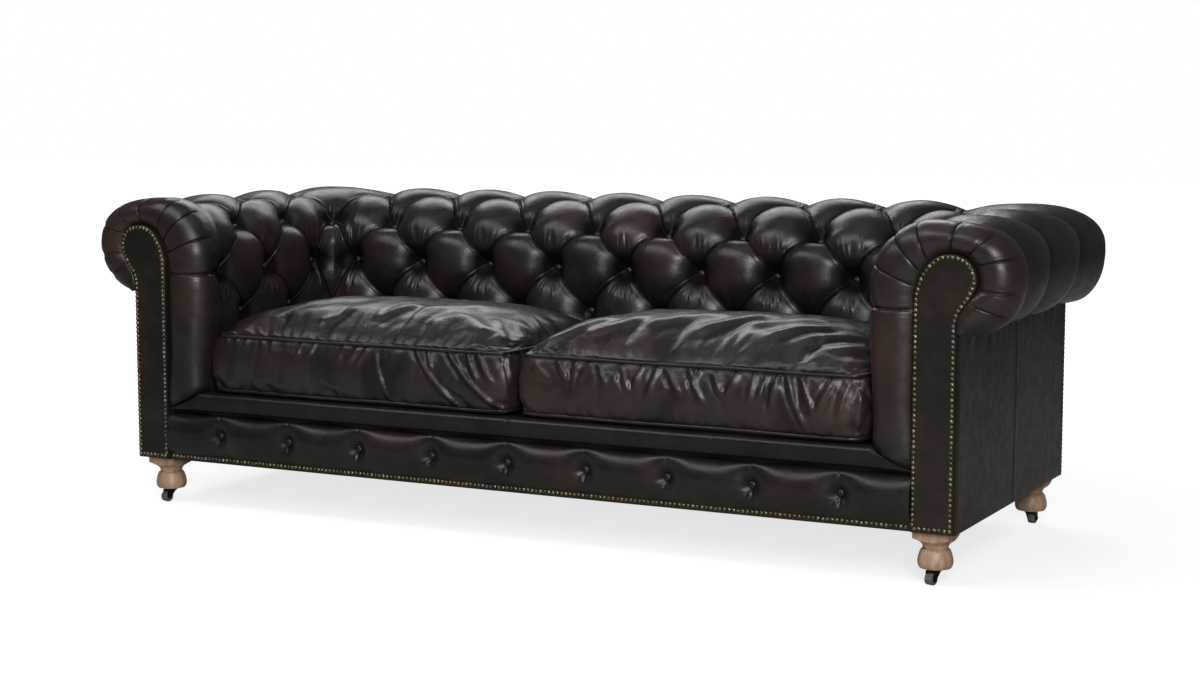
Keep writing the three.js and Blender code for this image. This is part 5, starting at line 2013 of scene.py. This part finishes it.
@dataclass
class DustCover:
    """Black cloth stretched under the frame and cut out round the feet."""

    half: float = 1.0427
    open_half: float = 0.950
    front: float = -0.4117
    back: float = 0.3327
    open_front: float = -0.355
    open_back: float = 0.252
    top: float = 0.1157
    thickness: float = 0.0012
    sag: float = 0.0012

    def build(self) -> tuple[Piece, float]:
        """Makes the cloth.

        Returns:
            The piece and the area of its cut.
        """
        xs = np.concatenate([[-self.half], np.linspace(-self.open_half, self.open_half, 96), [self.half]])
        ys = np.concatenate([[self.front], np.linspace(self.open_front, self.open_back, 34), [self.back]])
        grid_x, grid_y = np.meshgrid(xs, ys)
        sag = self.sag * np.clip(np.sin(np.pi * (grid_x - xs[1]) / (xs[-2] - xs[1])), 0, 1)
        sag = sag * np.clip(np.sin(np.pi * (grid_y - ys[1]) / (ys[-2] - ys[1])), 0, 1)
        points = np.stack([grid_x, grid_y, self.top - self.thickness - sag], -1)
        beyond = np.abs(grid_x.ravel()) > self.open_half + 1e-6
        apart = (grid_y.ravel() < self.open_front - 1e-6) | (grid_y.ravel() > self.open_back + 1e-6)
        faces = []
        for face in grid_faces(len(ys), len(xs)):
            corner = list(face)
            if not (beyond[corner].any() and apart[corner].any()):
                faces.append(face)
        piece = Bench.woven("dust_cloth", points, faces)
        bpy.ops.object.mode_set(mode="EDIT")
        bpy.ops.mesh.select_all(action="DESELECT")
        bpy.ops.mesh.select_loose()
        bpy.ops.mesh.delete(type="VERT")
        bpy.ops.object.mode_set(mode="OBJECT")
        area = sum(face.area for face in piece.data.polygons)
        if piece.data.polygons[0].normal.z > 0:
            piece.data.flip_normals()
        Bench.modify(piece, "SOLIDIFY", thickness=self.thickness, offset=-1.0)
        Bench.smooth(piece, 40)
        return piece, area


@dataclass(frozen=True)
class Studio:
    """White studio: the camera that matches the photograph, soft lamps and a pale floor."""

    place: tuple[float, float, float] = (2.3904, -4.6064, 1.0191)
    azimuth: float = 27.3968
    elevation: float = 6.7043
    lens: float = 64.2956
    sensor: float = 36.0
    mirrored: float = 0.07
    ambient: float = 0.085
    floor_size: float = 40
    pale_from: float = 1.2
    pale_to: float = 3.0
    near_tone: float = 0.76
    far_tone: float = 1.1

    def camera(self) -> None:
        """Sets up the camera."""
        data = bpy.data.cameras.new("camera")
        data.sensor_width, data.sensor_fit, data.lens = self.sensor, "HORIZONTAL", self.lens
        data.clip_start, data.clip_end = 0.05, 100.0
        camera = bpy.data.objects.new("camera", data)
        bpy.context.scene.collection.objects.link(camera)
        a, e = math.radians(self.azimuth), math.radians(self.elevation)
        look = Vector((-math.sin(a) * math.cos(e), math.cos(a) * math.cos(e), -math.sin(e)))
        camera.location = self.place
        camera.rotation_mode = "QUATERNION"
        camera.rotation_quaternion = look.to_track_quat("-Z", "Y")
        bpy.context.scene.camera = camera

    @staticmethod
    def softbox(name: str, place: Place, target: Place, size: Pair, power: float) -> None:
        """Hangs one soft lamp.

        Args:
            name: Name of the lamp.
            place: Where it hangs.
            target: What it points at.
            size: Width and height of its face.
            power: Its power, in watts.
        """
        data = bpy.data.lights.new(name, "AREA")
        data.shape, data.size, data.size_y, data.energy = "RECTANGLE", size[0], size[1], power
        lamp = bpy.data.objects.new(name, data)
        bpy.context.scene.collection.objects.link(lamp)
        lamp.location = place
        lamp.rotation_mode = "QUATERNION"
        lamp.rotation_quaternion = (Vector(target) - Vector(place)).to_track_quat("-Z", "Y")

    def lamps(self) -> None:
        """Hangs the lamps."""
        self.softbox("key", (3.1, -4.9, 2.45), (0.0, 0.1, 0.5), (1.9, 2.5), 185.0)
        self.softbox("front", (-0.7, -1.75, 2.6), (0.0, -0.3, 0.4), (3.2, 1.0), 31.0)
        self.softbox("rear", (-1.5, 2.7, 3.0), (-0.1, -0.1, 0.5), (3.4, 1.8), 54.0)
        self.softbox("overhead", (0.4, -0.4, 3.3), (0.2, -0.2, 0.4), (2.0, 2.0), 5.0)

    def world(self) -> None:
        """Makes the white surroundings, which light the sofa only a little."""
        world = bpy.data.worlds.new("studio")
        bpy.context.scene.world = world
        world.use_nodes = True
        wires = Wires(world.node_tree)
        path = wires.node("LightPath", {}).outputs
        shine = wires.math("MULTIPLY", path["Is Glossy Ray"], self.mirrored)
        seen = wires.math("MAXIMUM", path["Is Camera Ray"], shine)
        through = wires.math("MAXIMUM", seen, path["Is Transmission Ray"])
        strength = wires.math("MAXIMUM", through, self.ambient)
        background = wires.node("Background", {0: (1.0, 1.0, 1.0, 1.0), 1: strength})
        wires.node("OutputWorld", {0: background.outputs[0]})

    def floor(self) -> None:
        """Lays the pale floor, which keeps the sofa's shadow."""
        Bench.clear()
        bpy.ops.mesh.primitive_plane_add(size=self.floor_size)
        floor = Bench.started("studio_floor")
        graph = Graph("studio_floor")
        diffuse = graph.node("BsdfDiffuse", {"Color": (0.5, 0.5, 0.5, 1.0)})
        path = graph.node("LightPath", {}).outputs
        where = graph.node("NewGeometry", {}).outputs["Position"]
        away = graph.node("VectorMath", {0: where}, operation="LENGTH").outputs["Value"]
        paling = graph.spread(away, self.pale_from, self.pale_to, self.near_tone, self.far_tone)
        level = graph.math("MULTIPLY", path["Is Camera Ray"], paling)
        glow = graph.node("Emission", {"Color": (1.0, 1.0, 1.0, 1.0), "Strength": level})
        both = graph.node("AddShader", {0: diffuse.outputs[0], 1: glow.outputs[0]})
        graph.tree.links.new(both.outputs[0], graph.output.inputs[0])
        graph.tree.nodes.remove(graph.shader)
        floor.data.materials.append(graph.material)


# Folds of the cushions: each from start to end as shares of the face from its left and
# its foot or front edge, then its width and height in metres.
LEFT_FRONT_FOLDS = (
    Fold((0.70, 0.98), (0.845, 0.04), 0.0055, 0.0058),
    Fold((0.805, 0.96), (0.975, 0.03), 0.0055, 0.0063),
    Fold((0.79, 0.6), (0.855, 0.28), 0.0045, 0.0028),
    Fold((0.87, 0.98), (0.905, 0.55), 0.005, 0.0047),
    Fold((0.90, 0.98), (0.955, 0.5), 0.006, 0.0038),
    Fold((0.575, 0.85), (0.615, 0.12), 0.006, 0.0038),
    Fold((0.745, 0.98), (0.765, 0.68), 0.0045, 0.0043),
    Fold((0.55, 0.97), (0.52, 0.68), 0.0055, 0.0047),
    Fold((0.52, 0.97), (0.49, 0.7), 0.005, 0.0043),
    Fold((0.47, 0.97), (0.455, 0.72), 0.005, 0.0026),
    Fold((0.375, 0.99), (0.355, 0.76), 0.0045, 0.0043),
    Fold((0.33, 0.97), (0.315, 0.76), 0.0045, 0.0032),
    Fold((0.225, 0.97), (0.23, 0.78), 0.005, 0.0024),
    Fold((0.19, 0.97), (0.195, 0.8), 0.005, 0.0022),
    Fold((0.14, 0.98), (0.135, 0.84), 0.0045, 0.0028),
    Fold((0.10, 0.98), (0.105, 0.84), 0.0045, 0.0024),
    Fold((0.065, 0.98), (0.07, 0.86), 0.0045, 0.0022),
    Fold((0.40, 0.35), (0.52, 0.14), 0.009, 0.0016),
    Fold((0.20, 0.30), (0.30, 0.22), 0.010, 0.0012),
)

RIGHT_FRONT_FOLDS = (
    Fold((0.135, 0.97), (0.175, 0.62), 0.0065, 0.0046),
    Fold((0.19, 0.97), (0.185, 0.55), 0.006, 0.0036),
    Fold((0.235, 0.98), (0.205, 0.66), 0.006, 0.0036),
    Fold((0.255, 0.95), (0.285, 0.62), 0.0055, 0.0040),
    Fold((0.33, 0.97), (0.30, 0.66), 0.0055, 0.0036),
    Fold((0.325, 0.9), (0.352, 0.52), 0.0055, 0.0042),
    Fold((0.385, 0.98), (0.362, 0.56), 0.0055, 0.0040),
    Fold((0.43, 0.98), (0.405, 0.50), 0.0055, 0.0046),
    Fold((0.45, 0.95), (0.50, 0.55), 0.006, 0.0044),
    Fold((0.515, 0.98), (0.565, 0.42), 0.006, 0.0052),
    Fold((0.55, 0.98), (0.53, 0.62), 0.006, 0.0036),
    Fold((0.585, 0.92), (0.615, 0.58), 0.006, 0.0040),
    Fold((0.655, 0.98), (0.625, 0.55), 0.006, 0.0042),
    Fold((0.70, 0.98), (0.69, 0.50), 0.0055, 0.0034),
    Fold((0.735, 0.97), (0.715, 0.55), 0.0055, 0.0036),
    Fold((0.765, 0.98), (0.745, 0.45), 0.006, 0.0042),
    Fold((0.785, 0.98), (0.84, 0.14), 0.0065, 0.0050),
    Fold((0.825, 0.97), (0.865, 0.40), 0.006, 0.0044),
    Fold((0.915, 0.98), (0.87, 0.42), 0.006, 0.0046),
    Fold((0.95, 0.95), (0.925, 0.20), 0.007, 0.0030),
    Fold((0.985, 0.9), (0.975, 0.15), 0.006, 0.0026),
    Fold((0.06, 0.9), (0.12, 0.6), 0.008, 0.0022),
)

LEFT_CROWN_FOLDS = (
    Fold((0.36, 0.10), (0.42, 0.26), 0.014, 0.0035),
    Fold((0.52, 0.16), (0.60, 0.36), 0.018, 0.0042),
    Fold((0.62, 0.26), (0.80, 0.46), 0.026, 0.0040),
    Fold((0.90, 0.12), (0.74, 0.24), 0.028, 0.0062),
    Fold((0.95, 0.10), (0.86, 0.30), 0.016, 0.0046),
    Fold((0.20, 0.30), (0.40, 0.52), 0.030, 0.0026),
)

RIGHT_CROWN_FOLDS = (
    Fold((0.08, 0.06), (0.22, 0.30), 0.020, 0.0048),
    Fold((0.19, 0.12), (0.33, 0.30), 0.022, 0.0034),
    Fold((0.34, 0.20), (0.52, 0.44), 0.024, 0.0042),
    Fold((0.50, 0.16), (0.64, 0.46), 0.018, 0.0054),
    Fold((0.62, 0.24), (0.80, 0.52), 0.022, 0.0044),
    Fold((0.71, 0.16), (0.83, 0.40), 0.016, 0.0052),
    Fold((0.80, 0.16), (0.92, 0.38), 0.016, 0.0046),
    Fold((0.88, 0.12), (0.96, 0.28), 0.016, 0.0034),
)


class Sofa:
    """Puts every sub-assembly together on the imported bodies."""

    def __init__(self, book: FinishBook) -> None:
        """Starts with the materials and nothing built."""
        self.book = book

    def leather(self, piece: Piece, *replaced: str) -> Piece:
        """Dresses a piece in the plain leather of the body."""
        return Bench.dress(piece, self.book.plain, "leather", BODY, replaced)

    def nails(self, name: str, places: Sequence[Matrix], replaced: str) -> None:
        """Drives a nail at each place."""
        heads = Bench.copies(name, NAIL_HEAD.build(), places)
        Bench.dress(heads, self.book.brass, "antique_brass", BODY, (replaced,))

    def padding(self) -> None:
        """Builds the tufted leather of the arms and back, with its buttons."""
        roll = TuftedRoll()
        pads = ("back_pad", "left_arm_pad", "right_arm_pad")
        skin = Bench.dress(roll.build(), self.book.tufted, "leather", BODY, pads)
        self.leather(Bench.copies("tufting_buttons", BUTTON.build(), roll.button_places()))

    def front(self) -> None:
        """Builds the border, the lip, the facings and their nails."""
        base = FrontBase()
        border = self.leather(base.border(), "front_border")
        lip = self.leather(base.lip(), "deck_lip")
        self.leather(Bench.copies("border_buttons", BUTTON.build(), base.button_places()))
        self.nails("border_nail_heads", base.nail_places(), "border_nails")
        for side in Side:
            arm = ArmFront(side)
            facing = self.leather(arm.facing(), f"{side.word}_facing")
            self.nails(f"{side.word}_facing_nail_heads", arm.nail_places(), f"{side.word}_facing_nails")

    def outside(self) -> None:
        """Builds the outside panels and their nails."""
        panels = OutsidePanels()
        leather = self.book.outside
        for side in Side:
            Bench.dress(panels.arm(side), leather, "leather", BODY, (f"{side.word}_outside_arm",))
            self.nails(f"{side.word}_rear_nail_heads", panels.nail_places(side), f"{side.word}_rear_nails")
        Bench.dress(panels.rear(), leather, "leather", BODY, ("outside_back",))

    def seat(self) -> None:
        """Builds the platform, the dust cover and the two loose cushions."""
        platform = self.leather(Platform().build(), "seat_deck")
        cover = DustCover()
        cloth, area = cover.build()
        Bench.dress(cloth, self.book.lining, "black_cloth", BODY, ("dust_cover",))
        for cushion in (
            SeatCushion(Side.LEFT, 0.070, LEFT_FRONT_FOLDS, LEFT_CROWN_FOLDS),
            SeatCushion(Side.RIGHT, 0.078, RIGHT_FRONT_FOLDS, RIGHT_CROWN_FOLDS),
        ):
            leather, *welts = cushion.build()
            body = f"{cushion.side.word}_cushion"
            replaced = (f"{cushion.side.word}_seat_cushion",)
            Bench.dress(leather, self.book.cushion, "cushion_leather", body, replaced)
            for welt in welts:
                Bench.dress(welt, self.book.cushion, "cushion_leather", body)

    def stand(self) -> None:
        """Builds the feet and the castor wheels, and finishes the rest of the castors."""
        wheel = CastorWheel()
        for corner in ("front_left", "front_right", "rear_left", "rear_right"):
            low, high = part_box(f"{corner}_foot")
            x, y = (low[0] + high[0]) / 2, (low[1] + high[1]) / 2
            foot = Foot().build(f"{corner}_oak_foot", x, y)
            Bench.dress(foot, self.book.oak, "weathered_oak", BODY, (f"{corner}_foot",))
            low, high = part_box(f"{corner}_castor_wheel")
            middle = Vector([(a + b) / 2 for a, b in zip(low, high)])
            middle.z = wheel.radius
            heading = wheel.front_heading if corner.startswith("front") else wheel.rear_heading
            tread = wheel.build(f"{corner}_wheel", middle, heading)
            roller, replaced = f"{corner}_castor_roller", (f"{corner}_castor_wheel",)
            Bench.dress(tread, self.book.tread, "castor_tread", roller, replaced)
            for part in ("plate", "horn", "axle"):
                self.finish_node(f"{corner}_castor_{part}", self.book.metal)

    def inside(self) -> None:
        """Finishes the timber frame and the webbing."""
        for name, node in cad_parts.items():
            if node.hide_render or "castor" in name:
                continue
            if name == "seat_webbing":
                self.finish_node(name, self.book.strap)
                continue
            low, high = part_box(name)
            spans = [b - a for a, b in zip(low, high)]
            self.finish_node(name, self.book.timbers[spans.index(max(spans))])

    @staticmethod
    def finish_node(name: str, material: Finish) -> None:
        """Gives a node that is carried over from CAD a better material.

        Args:
            name: Name of the node.
            material: Its material.
        """
        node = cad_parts[name]
        if not node.material_slots:
            node.data.materials.append(material)
        for slot in node.material_slots:
            slot.material = material


def main() -> None:
    """Builds the whole scene."""
    logging.basicConfig(level=logging.INFO, format="%(message)s")
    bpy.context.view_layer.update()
    studio = Studio()
    studio.camera()
    studio.world()
    studio.lamps()
    studio.floor()
    sofa = Sofa(FinishBook.mixed())
    sofa.padding()
    sofa.front()
    sofa.outside()
    sofa.seat()
    sofa.stand()
    sofa.inside()
    scene = bpy.context.scene
    scene.view_settings.view_transform = "Standard"
    Bench.clear()
    bpy.context.view_layer.update()


if __name__ == "__main__":
    main()
